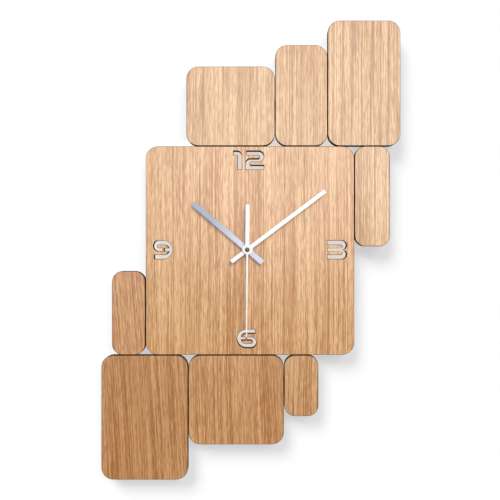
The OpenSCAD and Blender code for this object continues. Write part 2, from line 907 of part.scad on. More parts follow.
module dial_washer() {
  color(BRASS)
    in_frame()
      on_axis(front_z, washer_t)
        ring(bushing_r + 2.6, bushing_r + fit_gap);
}

module hex_nut() {
  color(BRASS)
    in_frame()
      on_axis(front_z + washer_t, nut_t)
        difference() {
          circle(bushing_r + 2.4, $fn = 6);
          circle(bushing_r + fit_gap);
        }
}

// Battery and electronics

module along_x(x, y, level) {
  translate([arbor_x + x, arbor_y + y, case_front_z - level])
    rotate([0, 90, 0])
      children();
}

module battery() {
  color(COPPER)
    in_frame() {
      along_x(battery_minus_x, battery_y, battery_level)
        cylinder(d = battery_d, h = battery_len - battery_button);
      along_x(battery_plus_x - battery_button, battery_y, battery_level)
        cylinder(d = 0.38 * battery_d, h = battery_button);
    }
}

module battery_contact_plus() {
  color(STEEL)
    in_frame()
      in_case(STRIP_LEVEL) {
        translate([in_x - contact_t, battery_y - 4])
          square([contact_t, -battery_y + 1.4]);
        translate([board_x + board_w - 1, -3])
          square([in_x - board_x - board_w + 1, contact_t]);
      }
}

module battery_contact_minus() {
  tail_y = -wheel_floor + 0.4;
  leaf_x = battery_minus_x - 0.1;
  color(STEEL)
    in_frame()
      in_case(STRIP_LEVEL) {
        translate([-in_x, battery_y - 4])
          square([contact_t, tail_y + contact_t - battery_y + 4]);
        polygon([
          [-in_x, battery_y - 4], [-in_x + contact_t, battery_y - 4], [leaf_x, battery_y],
          [-in_x + contact_t, battery_y + 4], [-in_x, battery_y + 4], [leaf_x - contact_t, battery_y],
        ]);
        translate([-in_x, tail_y])
          square([in_x + board_x + 3, contact_t]);
        translate([board_x + 3 - contact_t, tail_y])
          square([contact_t, board_y + 1 - tail_y]);
      }
}

board_x = 17.5;
board_y = -5;
board_w = 6.5;
board_h = 16;
board_t = 1;
BOARD_LEVEL = [BRIDGE_LEVEL[1], BRIDGE_LEVEL[1] + board_t];
crystal_r = 1;

module circuit_board() {
  color([0.1, 0.35, 0.2])
    in_frame()
      in_case(BOARD_LEVEL)
        translate([board_x, board_y])
          square([board_w, board_h]);
}

module clock_chip() {
  color(BLACK)
    in_frame()
      translate([arbor_x + board_x + board_w / 2, arbor_y + board_y + 5.5, case_front_z - BOARD_LEVEL[1] - 0.8])
        cylinder(r = 2.2, h = 0.8);
}

module quartz_crystal() {
  color(STEEL)
    in_frame()
      translate([arbor_x + board_x + board_w / 2, arbor_y + board_y + 15,
        case_front_z - BOARD_LEVEL[1] - crystal_r])
        rotate([90, 0, 0])
          cylinder(r = crystal_r, h = 6);
}

// Stepping motor

magnet_r = 3;
air_gap = 0.35;
coil_y = -15.3;
core_w = 2.4;
bobbin_x0 = -20.5;
bobbin_x1 = 1.5;
flange_bobbin_r = 2.7;
winding_r = 2.45;
bobbin_flange_t = 0.8;
core_x0 = -24;
core_x1 = 6;
core_middle = (CORE_LEVEL[0] + CORE_LEVEL[1]) / 2;
stator_arm_w = 1.3;
stator_arm_y = -11.6;

module stator() {
  color(STEEL)
    in_frame()
      in_case(STATOR_LEVEL)
        difference() {
          union() {
            translate([bobbin_x1 + 1, -18.3])
              square([rotor_at[0] + 6 - bobbin_x1 - 1, 12]);
            translate([core_x0, stator_arm_y])
              square([bobbin_x1 + 2 - core_x0, stator_arm_w]);
            translate([core_x0, coil_y - core_w / 2])
              square([2, stator_arm_y - coil_y + core_w / 2]);
          }
          translate(rotor_at)
            circle(magnet_r + air_gap);
        }
}

module coil_core() {
  color(STEEL)
    in_frame()
      in_case(CORE_LEVEL)
        translate([core_x0, coil_y - core_w / 2])
          square([core_x1 - core_x0, core_w]);
}

module core_slot() {
  in_case([CORE_LEVEL[0] - fit_gap, CORE_LEVEL[1] + fit_gap])
    translate([core_x0, coil_y - core_w / 2 - fit_gap])
      square([core_x1 - core_x0, core_w + 2 * fit_gap]);
}

module coil_bobbin() {
  color(WHITE)
    in_frame()
      difference() {
        union() {
          along_x(bobbin_x0, coil_y, core_middle)
            cylinder(r = core_w / 2 + 0.7, h = bobbin_x1 - bobbin_x0);
          for (x = [bobbin_x0, bobbin_x1 - bobbin_flange_t])
            along_x(x, coil_y, core_middle)
              cylinder(r = flange_bobbin_r, h = bobbin_flange_t);
        }
        core_slot();
      }
}

module coil_winding() {
  color(COPPER)
    in_frame()
      along_x(bobbin_x0 + bobbin_flange_t + fit_gap, coil_y, core_middle)
        linear_extrude(bobbin_x1 - bobbin_x0 - 2 * bobbin_flange_t - 2 * fit_gap)
          ring(winding_r, core_w / 2 + 0.7 + fit_gap);
}

module train_bridge() {
  bridge = [24.5, 19.5, 15.5];
  color(WHITE)
    in_frame()
      union() {
        in_case(BRIDGE_LEVEL)
          difference() {
            translate([-bridge[0], -bridge[1]])
              square([2 * bridge[0], bridge[1] + bridge[2]]);
            circle(minute_tube_r + run_gap);
            translate(third_at)
              circle(boss_r + 0.2);
            for (p = [intermediate_at, rotor_at])
              translate(p)
                circle(arbor_r + run_gap);
            translate(knob_at)
              circle(knob_shaft_r + 0.2);
          }
        in_case([BRIDGE_LEVEL[1], STATOR_LEVEL[0]])
          for (p = [[core_x0 + 1, coil_y], [rotor_at[0] + 4.6, rotor_at[1] + 3.4]])
            translate(p)
              circle(1);
      }
}

// Wheels

module turned(p, phase) {
  translate(p)
    rotate(phase)
      children();
}

module arbor(p, from, to) {
  in_case([from, to])
    translate(p)
      circle(arbor_r);
}

module rotor_magnet() {
  color(STEEL)
    in_frame()
      in_case(MAGNET_LEVEL)
        translate(rotor_at)
          ring(magnet_r, arbor_r + 0.3);
}

module rotor_pinion() {
  color(WHITE)
    in_frame()
      union() {
        in_case(ROTOR_PINION_LEVEL)
          translate(rotor_at)
            gear(rotor_module, rotor_teeth, rotor_phase);
        in_case([MAGNET_LEVEL[0], ROTOR_PINION_LEVEL[0]])
          translate(rotor_at)
            circle(arbor_r + 0.25);
        arbor(rotor_at, BRIDGE_LEVEL[0] + 0.2, arbor_end_level);
      }
}

module intermediate_wheel() {
  color(WHITE)
    in_frame()
      union() {
        in_case(INTERMEDIATE_LEVEL)
          translate(intermediate_at)
            gear(rotor_module, intermediate_teeth, 0);
        in_case(INTERMEDIATE_PINION_LEVEL)
          translate(intermediate_at)
            gear(seconds_module, intermediate_pinion_teeth, intermediate_phase);
        arbor(intermediate_at, BRIDGE_LEVEL[0] + 0.2, arbor_end_level);
      }
}

module seconds_wheel() {
  color(WHITE)
    in_frame()
      difference() {
        union() {
          in_case(SECONDS_LEVEL)
            gear(seconds_module, seconds_teeth, 0);
          in_case(SECONDS_PINION_LEVEL)
            gear(third_module, seconds_pinion_teeth, 0);
        }
        in_case([SECONDS_PINION_LEVEL[0] - cut, SECONDS_LEVEL[1] + cut])
          circle(arbor_r);
      }
}

module seconds_arbor() {
  color(STEEL)
    in_frame()
      translate([arbor_x, arbor_y, case_front_z - arbor_end_level])
        cylinder(r = arbor_r, h = second_z + second_t - case_front_z + arbor_end_level);
}

module third_wheel() {
  color(WHITE)
    in_frame()
      union() {
        in_case(THIRD_LEVEL)
          translate(third_at)
            gear(third_module, third_teeth, third_phase);
        in_case(THIRD_PINION_LEVEL)
          translate(third_at)
            gear(minute_module, third_pinion_teeth, 0);
        arbor(third_at, THIRD_PINION_LEVEL[0] - 2, arbor_end_level);
      }
}

module minute_wheel() {
  color(WHITE)
    in_frame()
      difference() {
        union() {
          in_case(MINUTE_LEVEL)
            gear(minute_module, minute_teeth, minute_phase);
          in_case(CANNON_LEVEL)
            gear(motion_module, cannon_teeth, 0);
          in_case([-(minute_tube_top - case_front_z), BRIDGE_LEVEL[1] - 0.2])
            circle(minute_tube_r);
        }
        in_case([-(minute_tube_top - case_front_z) - cut, BRIDGE_LEVEL[1] + cut])
          circle(arbor_r + run_gap);
      }
}

module motion_wheel() {
  color(WHITE)
    in_frame()
      difference() {
        union() {
          in_case(MOTION_LEVEL)
            translate(motion_at)
              gear(motion_module, motion_teeth, motion_phase);
          in_case(MOTION_PINION_LEVEL)
            translate(motion_at)
              gear(hour_module, motion_pinion_teeth, 0);
        }
        in_case([MOTION_PINION_LEVEL[0] - cut, MOTION_LEVEL[1] + cut])
          translate(motion_at)
            circle(motion_post_r + run_gap);
      }
}

module hour_wheel() {
  color(WHITE)
    in_frame()
      difference() {
        union() {
          in_case(HOUR_LEVEL)
            gear(hour_module, hour_teeth, hour_phase);
          in_case([-(hour_tube_top - case_front_z), HOUR_LEVEL[1]])
            circle(hour_tube_r);
        }
        in_case([-(hour_tube_top - case_front_z) - cut, HOUR_LEVEL[1] + cut])
          circle(minute_tube_r + run_gap);
      }
}

module setting_knob() {
  knob_r = 6;
  grooves = 20;
  color(WHITE)
    in_frame()
      union() {
        in_case([case_depth + knob_play, case_depth + knob_play + knob_t])
          translate(knob_at)
            difference() {
              circle(knob_r);
              for (i = [0:grooves - 1])
                translate(polar(knob_r, i * 360 / grooves))
                  circle(0.4, $fn = 24);
            }
        in_case([case_wall + 0.4, case_depth + knob_play])
          translate(knob_at)
            circle(knob_shaft_r);
        in_case(MOTION_LEVEL)
          translate(knob_at)
            gear(motion_module, knob_teeth, knob_phase);
      }
}

// Hands

module hand(z, t, angle, length, w, tip_w, tail, tail_w, boss_r, hole_r) {
  in_frame()
    on_axis(z, t)
      rotate(-angle)
        difference() {
          union() {
            polygon([[-w / 2, 0], [w / 2, 0], [tip_w / 2, length], [-tip_w / 2, length]]);
            translate([-tail_w / 2, -tail])
              square([tail_w, tail]);
            circle(boss_r);
          }
          circle(hole_r);
        }
}

collet_r = hour_tube_r + 0.6;
hour_boss_r = 7;
minute_boss_r = 7;
second_boss_r = 5.8;

module hour_hand() {
  color(SILVER)
    hand(hour_z, hand_t, hour_angle, hour_len, hour_w, hour_w, tail_len, hour_w, hour_boss_r,
      collet_r + fit_gap);
}

module hour_hand_collet() {
  color(BRASS)
    in_frame() {
      on_axis(hour_z - 0.5, 0.5)
        ring(collet_r + 1, hour_tube_r + fit_gap);
      on_axis(hour_z, hand_t + 0.3)
        ring(collet_r, hour_tube_r + fit_gap);
    }
}

module minute_hand() {
  color(SILVER)
    hand(minute_z, hand_t, minute_angle, minute_len, minute_w, minute_w, tail_len, minute_w, minute_boss_r,
      minute_tube_r + fit_gap);
}

module minute_hand_nut() {
  color(BRASS)
    in_frame()
      on_axis(minute_z + hand_t, minute_nut_t)
        difference() {
          circle(minute_tube_r + 1.4, $fn = 6);
          circle(minute_tube_r + fit_gap);
        }
}

module second_hand() {
  color(SILVER)
    hand(second_z, second_t, second_angle, second_len, second_w, second_tip_w, second_tail_len,
      second_tail_w, second_boss_r, arbor_r + fit_gap);
}

module second_hand_pipe() {
  color(BRASS)
    in_frame()
      on_axis(second_z - second_pipe_len, second_pipe_len)
        ring(arbor_r + 0.7, arbor_r + fit_gap);
}

module second_hand_cap() {
  color([0.16, 0.16, 0.18])
    in_frame()
      translate([arbor_x, arbor_y, second_z + second_t])
        rotate_extrude()
          polygon([[0, 0], [cap_r, 0], [cap_r, 0.7 * cap_t], [cap_r - 0.3 * cap_t, cap_t], [0, cap_t]]);
}

dial_panel();
top_left_panel();
top_middle_panel();
top_right_panel();
right_panel();
left_panel();
bottom_left_panel();
bottom_middle_panel();
bottom_right_panel();
left_rail();
right_rail();
upper_cross_rail();
lower_cross_rail();
right_arm();
left_arm();
rail_screws();
wall_pads();
hanger_plate();
hanger_screws();
movement_case();
movement_cover();
threaded_bushing();
rubber_washer();
dial_washer();
hex_nut();
battery();
battery_contact_plus();
battery_contact_minus();
circuit_board();
clock_chip();
quartz_crystal();
stator();
coil_core();
coil_bobbin();
coil_winding();
train_bridge();
rotor_magnet();
rotor_pinion();
intermediate_wheel();
seconds_wheel();
seconds_arbor();
third_wheel();
minute_wheel();
motion_wheel();
hour_wheel();
setting_knob();
hour_hand();
hour_hand_collet();
minute_hand();
minute_hand_nut();
second_hand();
second_hand_pipe();
second_hand_cap();
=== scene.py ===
"""Wall clock of nine oak panels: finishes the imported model's pieces and lights them on a plain wall."""

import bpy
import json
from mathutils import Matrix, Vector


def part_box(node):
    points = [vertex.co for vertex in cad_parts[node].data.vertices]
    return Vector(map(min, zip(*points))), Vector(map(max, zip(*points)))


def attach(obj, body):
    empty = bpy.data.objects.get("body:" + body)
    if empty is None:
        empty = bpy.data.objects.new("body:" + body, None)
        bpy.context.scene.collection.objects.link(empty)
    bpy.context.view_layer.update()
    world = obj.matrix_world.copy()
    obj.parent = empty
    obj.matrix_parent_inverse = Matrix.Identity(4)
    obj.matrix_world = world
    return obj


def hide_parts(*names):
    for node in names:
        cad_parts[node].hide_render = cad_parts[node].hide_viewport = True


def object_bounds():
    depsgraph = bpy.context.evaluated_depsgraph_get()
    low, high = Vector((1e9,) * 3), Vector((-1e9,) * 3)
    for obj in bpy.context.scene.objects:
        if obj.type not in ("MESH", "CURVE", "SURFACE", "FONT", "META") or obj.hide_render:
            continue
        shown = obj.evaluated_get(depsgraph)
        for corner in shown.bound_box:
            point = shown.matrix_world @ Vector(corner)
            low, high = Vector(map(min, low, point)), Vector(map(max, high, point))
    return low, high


bl_info = {
    "name": "Oak panel wall clock",
    "version": (1, 0, 0),
    "blender": (4, 5, 0),
    "location": "View3D > Sidebar > Wall clock",
    "description": "Finishes the panels, back frame, movement and hands of a wall clock",
    "category": "Object",
}

import itertools
import json
import math

import bmesh
import bpy
from bpy.props import FloatProperty, FloatVectorProperty, PointerProperty
from mathutils import Matrix, Vector

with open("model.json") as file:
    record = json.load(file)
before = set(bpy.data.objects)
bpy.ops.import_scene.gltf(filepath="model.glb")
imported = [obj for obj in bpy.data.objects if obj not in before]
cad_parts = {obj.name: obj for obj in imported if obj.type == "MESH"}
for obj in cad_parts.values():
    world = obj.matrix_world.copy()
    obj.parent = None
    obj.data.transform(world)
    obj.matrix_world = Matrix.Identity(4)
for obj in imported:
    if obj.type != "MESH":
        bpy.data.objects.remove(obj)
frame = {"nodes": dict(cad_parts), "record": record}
CAD_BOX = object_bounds()

MM = 0.001
BLACK = (0.0, 0.0, 0.0, 1.0)
WHITE = (1.0, 1.0, 1.0, 1.0)
OUT_OF_WALL = Vector((0.0, -1.0, 0.0))
TO_THE_RIGHT = Vector((1.0, 0.0, 0.0))

# Limits of the mesh work; a front or back face has a normal whose y is past FACING
MERGE = 1e-6
FLAT_ANGLE = math.radians(0.5)
SHARP_ANGLE = math.radians(30)
SHADE_ANGLE = math.radians(40)
TIP_ANGLE = math.radians(60)
TIP_ROOM = 2.5 * MM
LATHE_STEPS = 96
FACING = 0.99

RECORD = frame["record"]
BODY_OF = {node: body for body, nodes in RECORD["behaviour"]["bodies"].items() for node in nodes}

DIAL_LOW, DIAL_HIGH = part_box("dial_panel")
DIAL_MIDDLE = (DIAL_LOW + DIAL_HIGH) / 2
DIAL_HALF = (DIAL_HIGH.x - DIAL_LOW.x) / 2
FRONT_Y = DIAL_LOW.y
BACK_Y = DIAL_HIGH.y
WALL_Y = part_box("wall_pads")[1].y
CLOCK_MIDDLE = (CAD_BOX[0] + CAD_BOX[1]) / 2

# Each panel's own cut of veneer: place on the sheet in metres, tint, ring lines, lean of the grain; the tint
# is partly the veneer's own tone and partly painted light and shade, darkest at the lower left and palest at
# the right and the dial
VENEERS = {
    "dial_panel": ((0.00, 0.0, 0.00), (1.08, 1.14, 1.12), 0.15, 0.000),
    "top_left_panel": ((1.31, 0.1, 0.40), (0.99, 1.09, 1.00), 0.16, -0.006),
    "top_middle_panel": ((2.17, 0.2, 0.90), (0.95, 0.99, 0.79), 0.26, -0.010),
    "top_right_panel": ((3.43, 0.3, 1.30), (0.97, 1.01, 0.89), 0.60, -0.004),
    "right_panel": ((4.29, 0.4, 1.70), (1.02, 1.16, 1.24), 0.36, 0.002),
    "left_panel": ((5.61, 0.5, 2.10), (0.93, 0.88, 0.83), 0.18, 0.080),
    "bottom_left_panel": ((6.83, 0.6, 2.60), (0.86, 0.80, 0.62), 0.20, 0.058),
    "bottom_middle_panel": ((7.37, 0.7, 3.00), (0.97, 0.96, 0.89), 0.26, 0.034),
    "bottom_right_panel": ((8.19, 0.8, 3.50), (0.97, 1.00, 1.01), 0.15, -0.020),
}
# A panel's materials in the order of its slots
OAK, SCORCHED, BARE = range(3)

UPRIGHTS = ("left_rail", "right_rail")
CROSS_BATTENS = ("upper_cross_rail", "lower_cross_rail", "right_arm", "left_arm")
PINE_PLACE = (0.7, 0.2, 0.3)
PINE_BLUSH = (0.92, 0.92, 0.92)

# Features to the metre in each pattern; the grain runs along z
DRIFT = (10.0, 10.0, 5.0)
BANDS = (60.0, 60.0, 2.2)
STREAKS = (230.0, 230.0, 3.2)
HAIRLINES = (640.0, 640.0, 3.0)
FIBRES = (1050.0, 1050.0, 66.0)
PORES = (1350.0, 1350.0, 105.0)
PATCHES = (46.0, 46.0, 3.6)
VEINS = (300.0, 300.0, 6.0)
CUT_MARKS = (900.0, 45.0, 900.0)
SOOT = 60.0
FLECKS = 900.0
CLOUDS = 30.0
MOTTLE = 420.0
RUBBED_LINES = (160.0, 5200.0, 5200.0)
DULL_SPOTS = 140.0
SKIN = 2600.0
HANDLING = 70.0

# Lengths in the patterns
DRIFT_WIDTH = 4.5 * MM
RING_PITCH = 11.5 * MM
FACE_VENEER = 0.6 * MM
VENEER_BLUR = 0.1 * MM
# Where the hour hand's painted sheen fades from the paler hub to the darker tip
HUB_REACH = 12 * MM
TIP_REACH = 72 * MM

# The bushing: radii, flange, and the thread's shares of its pitch
THREAD_R = 4.0 * MM
BORE_R = 2.55 * MM
FLANGE_T = 0.8 * MM
THREAD_DEPTH = 0.45
THREAD_START = 0.3
THREAD_CREST = 0.5

# The battery: materials in the order of its slots, bare ends and plain band as shares, and its button
JACKET, BAND, STEEL = range(3)
BARE_END = 0.86
BAND_START = 0.80
BAND_LINE = 0.01
BUTTON_HEIGHT = 1.0 * MM
BUTTON_SHARE = 0.38

# The stage in metres: lamps are placed from the middle of the clock's front
FLOOR_Z = -1.2
FLOOR_HALF = 4.0
WALL_HALF = 1.4
KEY_WAY = Vector((-0.34, 0.85, -0.46))
WALL_KEY_WAY = Vector((0.56, 1.0, -1.06))
SOFTBOX_PLACE = Vector((0.20, -1.0, 0.38))
SOFTBOX_SIZE = (1.35, 0.85)
REAR_LAMP_PLACE = Vector((0.4, 1.6, 0.7))
REAR_LAMP_SIZE = (1.4, 1.4)
CAMERA_Z = -0.18445
SENSOR_WIDTH = 36.0

# The light of the sky from low to high
SKY_HEIGHTS = (-0.35, 0.45)
SKY_LEVELS = (0.10, 0.50)

# Soft margins of the painted glow on the wall behind the dial, which stands in for light through the
# numerals, and of the gaps above it
DIAL_BLUR = 2 * MM
GAP_INNER = 8 * MM
GAP_OUTER = 16 * MM


# Settings

def colour(label, note, value):
    """A colour that a user may change."""
    return FloatVectorProperty(
        name=label, description=note, default=value, subtype="COLOR", size=3, min=0.0, max=1.0
    )


def length(label, note, value):
    """A length that a user may change, in metres."""
    return FloatProperty(name=label, description=note, default=value, min=0.0, precision=5, unit="LENGTH")


def share(label, note, value):
    """A number from 0 to 1 that a user may change."""
    return FloatProperty(name=label, description=note, default=value, min=0.0, max=1.0, subtype="FACTOR")


def power(label, note, value):
    """A lamp's power that a user may change, in watts."""
    return FloatProperty(name=label, description=note, default=value, min=0.0, unit="POWER")


def strength(label, note, value):
    """The strength of a light from one side that a user may change."""
    return FloatProperty(name=label, description=note, default=value, min=0.0)


def spread(label, note, degrees):
    """An angle that a user may change."""
    return FloatProperty(name=label, description=note, default=math.radians(degrees), subtype="ANGLE")


class ClockPanelSettings(bpy.types.PropertyGroup):
    """Edges and colours of the oak panels."""
    edge_round: length("Edge round", "Radius of the eased edges of the panels round the dial", 0.6 * MM)
    dial_round: length("Dial edge round", "Radius of the eased edges of the dial and its numerals", 0.6 * MM)
    oak_light: colour("Light oak", "Pale part of the oak grain", (0.668, 0.370, 0.156))
    oak_dark: colour("Dark oak", "Dark part of the oak grain", (0.346, 0.118, 0.010))
    oak_blush: colour("Blush", "Reddish patches in the oak", (0.505, 0.228, 0.074))
    scorch_brown: colour("Scorch brown", "Lighter part of the scorched cut edges", (0.042, 0.015, 0.004))
    scorch_char: colour("Scorch char", "Darkest part of the scorched cut edges", (0.014, 0.005, 0.002))
    board: colour("Board", "Bare back of the panels", (0.36, 0.24, 0.14))
    gloss: share("Lacquer roughness", "Roughness of the satin lacquer", 0.38)


class ClockFrameSettings(bpy.types.PropertyGroup):
    """Edges and colours of the back frame and its fixings."""
    batten_round: length("Batten edge round", "Radius of the eased edges of the battens", 0.8 * MM)
    plate_round: length(
        "Plate edge round", "Radius of the eased edges of the hanger plate and rubber washer", 0.2 * MM
    )
    pad_round: length("Pad edge round", "Radius of the eased edges of the wall pads", 0.6 * MM)
    screw_round: length("Screw edge round", "Radius of the eased edges of the screws", 0.05 * MM)
    pine_light: colour("Light pine", "Pale part of the pine grain", (0.66, 0.47, 0.27))
    pine_dark: colour("Dark pine", "Dark part of the pine grain", (0.50, 0.31, 0.15))
    zinc: colour("Zinc", "Zinc plated steel", (0.62, 0.62, 0.60))
    rubber: colour("Rubber", "Wall pads and the washer behind the dial", (0.035, 0.035, 0.036))


class ClockMovementSettings(bpy.types.PropertyGroup):
    """Edges and colours of the quartz movement."""
    case_round: length("Case edge round", "Radius of the eased edges of the case", 0.15 * MM)
    nut_round: length(
        "Nut edge round", "Radius of the eased edges of the nuts, dial washer and collet", 0.12 * MM
    )
    knob_round: length("Knob edge round", "Radius of the eased edges of the knurled knob", 0.04 * MM)
    thread_pitch: length("Thread pitch", "Pitch of the bushing's thread", 0.75 * MM)
    case: colour("Case", "Moulded case, cover and chip", (0.020, 0.020, 0.022))
    wheel: colour("Wheels", "Moulded wheels, bridge and bobbin", (0.78, 0.77, 0.72))
    knob: colour("Knob", "Hand setting knob", (0.80, 0.79, 0.75))
    brass: colour("Brass", "Bushing, nuts, dial washer, collet and second hand pipe", (0.83, 0.61, 0.27))
    steel: colour("Steel", "Contacts, battery ends, arbor and crystal can", (0.68, 0.68, 0.67))
    iron: colour("Iron", "Stator, coil core and rotor magnet", (0.33, 0.33, 0.34))
    copper: colour("Copper", "Coil winding", (0.74, 0.34, 0.17))
    jacket: colour("Jacket", "Battery jacket", (0.055, 0.075, 0.095))
    jacket_band: colour("Jacket band", "Plain band at the battery's plus end", (0.42, 0.43, 0.42))
    board: colour("Circuit board", "Solder resist of the circuit board", (0.03, 0.17, 0.075))


class ClockHandSettings(bpy.types.PropertyGroup):
    """Edges and colours of the hands."""
    edge_round: length("Edge round", "Radius of the eased edges of the hands", 0.12 * MM)
    white: colour("White lacquer", "Minute and second hands", (0.85, 0.85, 0.84))
    # The hour hand's two greys make a painted reflection: paler round the hub, darker towards the tip
    grey_hub_painted_sheen: colour("Grey at the hub", "Hour hand round the hub", (0.58, 0.60, 0.72))
    grey_tip: colour("Grey at the tip", "Hour hand towards its tip", (0.27, 0.32, 0.415))
    cap: colour("Cap", "Cap of the second hand", (0.055, 0.055, 0.058))


class ClockStageSettings(bpy.types.PropertyGroup):
    """Wall, floor, lamps and camera."""
    wall: colour("Wall", "Part of the white wall's colour that takes light and shadow", (0.16, 0.16, 0.16))
    wall_shade: colour(
        "Wall shade", "What the camera sees in the wall's deepest shadow", (0.555, 0.55, 0.555)
    )
    # A painted glow: the wall behind the dial shows paler and warmer through the numerals and gaps
    wall_behind_painted_glow: colour(
        "Wall behind", "What the camera sees of the wall through the numerals", (0.70, 0.655, 0.62)
    )
    floor: colour("Floor", "Pale floor under the wall", (0.62, 0.61, 0.59))
    surroundings: colour("Surroundings", "What the camera sees past the wall", (0.78, 0.78, 0.78))
    key: strength("Key", "Strength of the soft key light", 2.45)
    wall_key: strength("Wall key", "Strength of the steeper light on the wall alone", 9.2)
    key_spread: spread("Key spread", "Angle that the key light covers", 24)
    wall_spread: spread("Wall spread", "Angle that the wall's light covers", 32)
    softbox: power("Softbox", "Power of the softbox that the lacquer reflects", 13.4)
    rear_lamp: power("Rear lamp", "Power of the soft lamp behind the wall", 26.0)
    camera_distance: length("Camera distance", "From the frame's origin plane to the camera", 0.7985)
    lens: FloatProperty(
        name="Lens", description="Focal length of the camera", default=42.77, min=10.0, unit="CAMERA"
    )


# Shader nodes

def put(tree, kind, values=(), **settings):
    """Adds a node, sets its own settings, and sets or links its inputs."""
    node = tree.nodes.new(kind)
    for name, value in settings.items():
        setattr(node, name, value)
    for name, value in dict(values).items():
        socket = node.inputs[name]
        if isinstance(value, bpy.types.NodeSocket):
            tree.links.new(value, socket)
        else:
            socket.default_value = value
    return node


def sum_of(tree, a, b):
    """Both values added."""
    return put(tree, "ShaderNodeMath", {0: a, 1: b}, operation="ADD").outputs[0]


def times(tree, a, b):
    """Both values multiplied."""
    return put(tree, "ShaderNodeMath", {0: a, 1: b}, operation="MULTIPLY").outputs[0]


def largest(tree, result, *others):
    """The largest of the values."""
    for other in others:
        result = put(tree, "ShaderNodeMath", {0: result, 1: other}, operation="MAXIMUM").outputs[0]
    return result


def weighted(tree, *pairs):
    """Sum of the values, each times its weight."""
    result, *others = [times(tree, value, weight) for value, weight in pairs]
    for other in others:
        result = sum_of(tree, result, other)
    return result


def blended(tree, amount, a, b):
    """Colour a where amount is 0, and b where it is 1."""
    node = put(tree, "ShaderNodeMix", {0: amount, 6: a, 7: b}, data_type="RGBA")
    return node.outputs[2]


def ramped(tree, value, limits, results=(0.0, 1.0)):
    """Eases from the first result, where value is at its first limit, to the second."""
    low, high = limits
    start, end = results
    values = {"Value": value, "From Min": low, "From Max": high, "To Min": start, "To Max": end}
    return put(tree, "ShaderNodeMapRange", values, interpolation_type="SMOOTHSTEP").outputs["Result"]


def parts_of(tree, vector):
    """The vector's X, Y and Z."""
    return put(tree, "ShaderNodeSeparateXYZ", {0: vector}).outputs


def noise(tree, vector, per_metre, detail=2.0, roughness=0.5):
    """Noise with features to the metre given once for all ways, or along x, y and z."""
    factors = (per_metre,) * 3 if isinstance(per_metre, float) else per_metre
    stretched = put(tree, "ShaderNodeVectorMath", {0: vector, 1: factors}, operation="MULTIPLY").outputs[0]
    values = {"Vector": stretched, "Scale": 1.0, "Detail": detail, "Roughness": roughness}
    return put(tree, "ShaderNodeTexNoise", values).outputs["Fac"]


SOCKETS = {"vector": "NodeSocketVector", "colour": "NodeSocketColor", "value": "NodeSocketFloat"}


def shader_group(name, inputs, build):
    """The named node group, built the first time it is asked for."""
    tree = bpy.data.node_groups.get(name)
    if tree:
        return tree
    tree = bpy.data.node_groups.new(name, "ShaderNodeTree")
    for label, kind in inputs.items():
        tree.interface.new_socket(name=label, in_out="INPUT", socket_type=SOCKETS[kind])
    given = tree.nodes.new("NodeGroupInput").outputs
    made = build(tree, given)
    for label in made:
        kind = "colour" if label == "Color" else "value"
        tree.interface.new_socket(name=label, in_out="OUTPUT", socket_type=SOCKETS[kind])
    put(tree, "NodeGroupOutput", made)
    return tree


def build_wood_grain(tree, given):
    """Straight grain along z: broad bands, streaks, fibres, dark lines, rings and open pores."""
    place = parts_of(tree, given["Vector"])
    drift = sum_of(tree, noise(tree, given["Vector"], DRIFT, 1.0), -0.5)
    lean = times(tree, place["Z"], given["Lean"])
    across = sum_of(tree, sum_of(tree, place["X"], lean), times(tree, drift, DRIFT_WIDTH))
    vector = put(tree, "ShaderNodeCombineXYZ", {0: across, 1: place["Y"], 2: place["Z"]}).outputs[0]
    bands = noise(tree, vector, BANDS)
    streaks = noise(tree, vector, STREAKS)
    hairlines = noise(tree, vector, HAIRLINES)
    fibres = noise(tree, vector, FIBRES, 1.0)
    pores = ramped(tree, noise(tree, vector, PORES, 0.0), (0.56, 0.70))
    patches = ramped(tree, noise(tree, vector, PATCHES, 1.0), (0.46, 0.72), (0.0, 0.40))
    veins = ramped(tree, noise(tree, vector, VEINS, 1.0), (0.58, 0.72))
    turn = weighted(tree, (across, math.tau / RING_PITCH), (bands, 9.0))
    wave = put(tree, "ShaderNodeMath", {0: turn}, operation="SINE").outputs[0]
    rings = times(tree, ramped(tree, wave, (0.55, 1.0)), given["Rings"])
    lines = largest(tree, times(tree, veins, 0.55), rings)
    tone = weighted(tree, (bands, 0.15), (streaks, 0.15), (hairlines, 0.42), (fibres, 0.28))
    pale = ramped(tree, tone, (0.40, 0.60))
    deep = blended(tree, 0.30, given["Dark"], BLACK)
    colour_now = blended(tree, pale, given["Dark"], given["Light"])
    colour_now = blended(tree, patches, colour_now, given["Blush"])
    colour_now = blended(tree, lines, colour_now, deep)
    colour_now = blended(tree, times(tree, pores, 0.48), colour_now, deep)
    roughness = ramped(tree, streaks, (0.30, 0.70), (-0.04, 0.05))
    return {
        "Color": colour_now,
        "Roughness": sum_of(tree, given["Gloss"], roughness),
        "Coat": sum_of(tree, weighted(tree, (pale, 0.42), (lines, -0.30)), 0.56),
        "Height": weighted(tree, (fibres, 0.5), (pores, -0.5)),
    }


def wood_grain():
    """The group for oak and pine."""
    inputs = {
        "Vector": "vector", "Light": "colour", "Dark": "colour", "Blush": "colour",
        "Rings": "value", "Lean": "value", "Gloss": "value",
    }
    return shader_group("Wood grain", inputs, build_wood_grain)


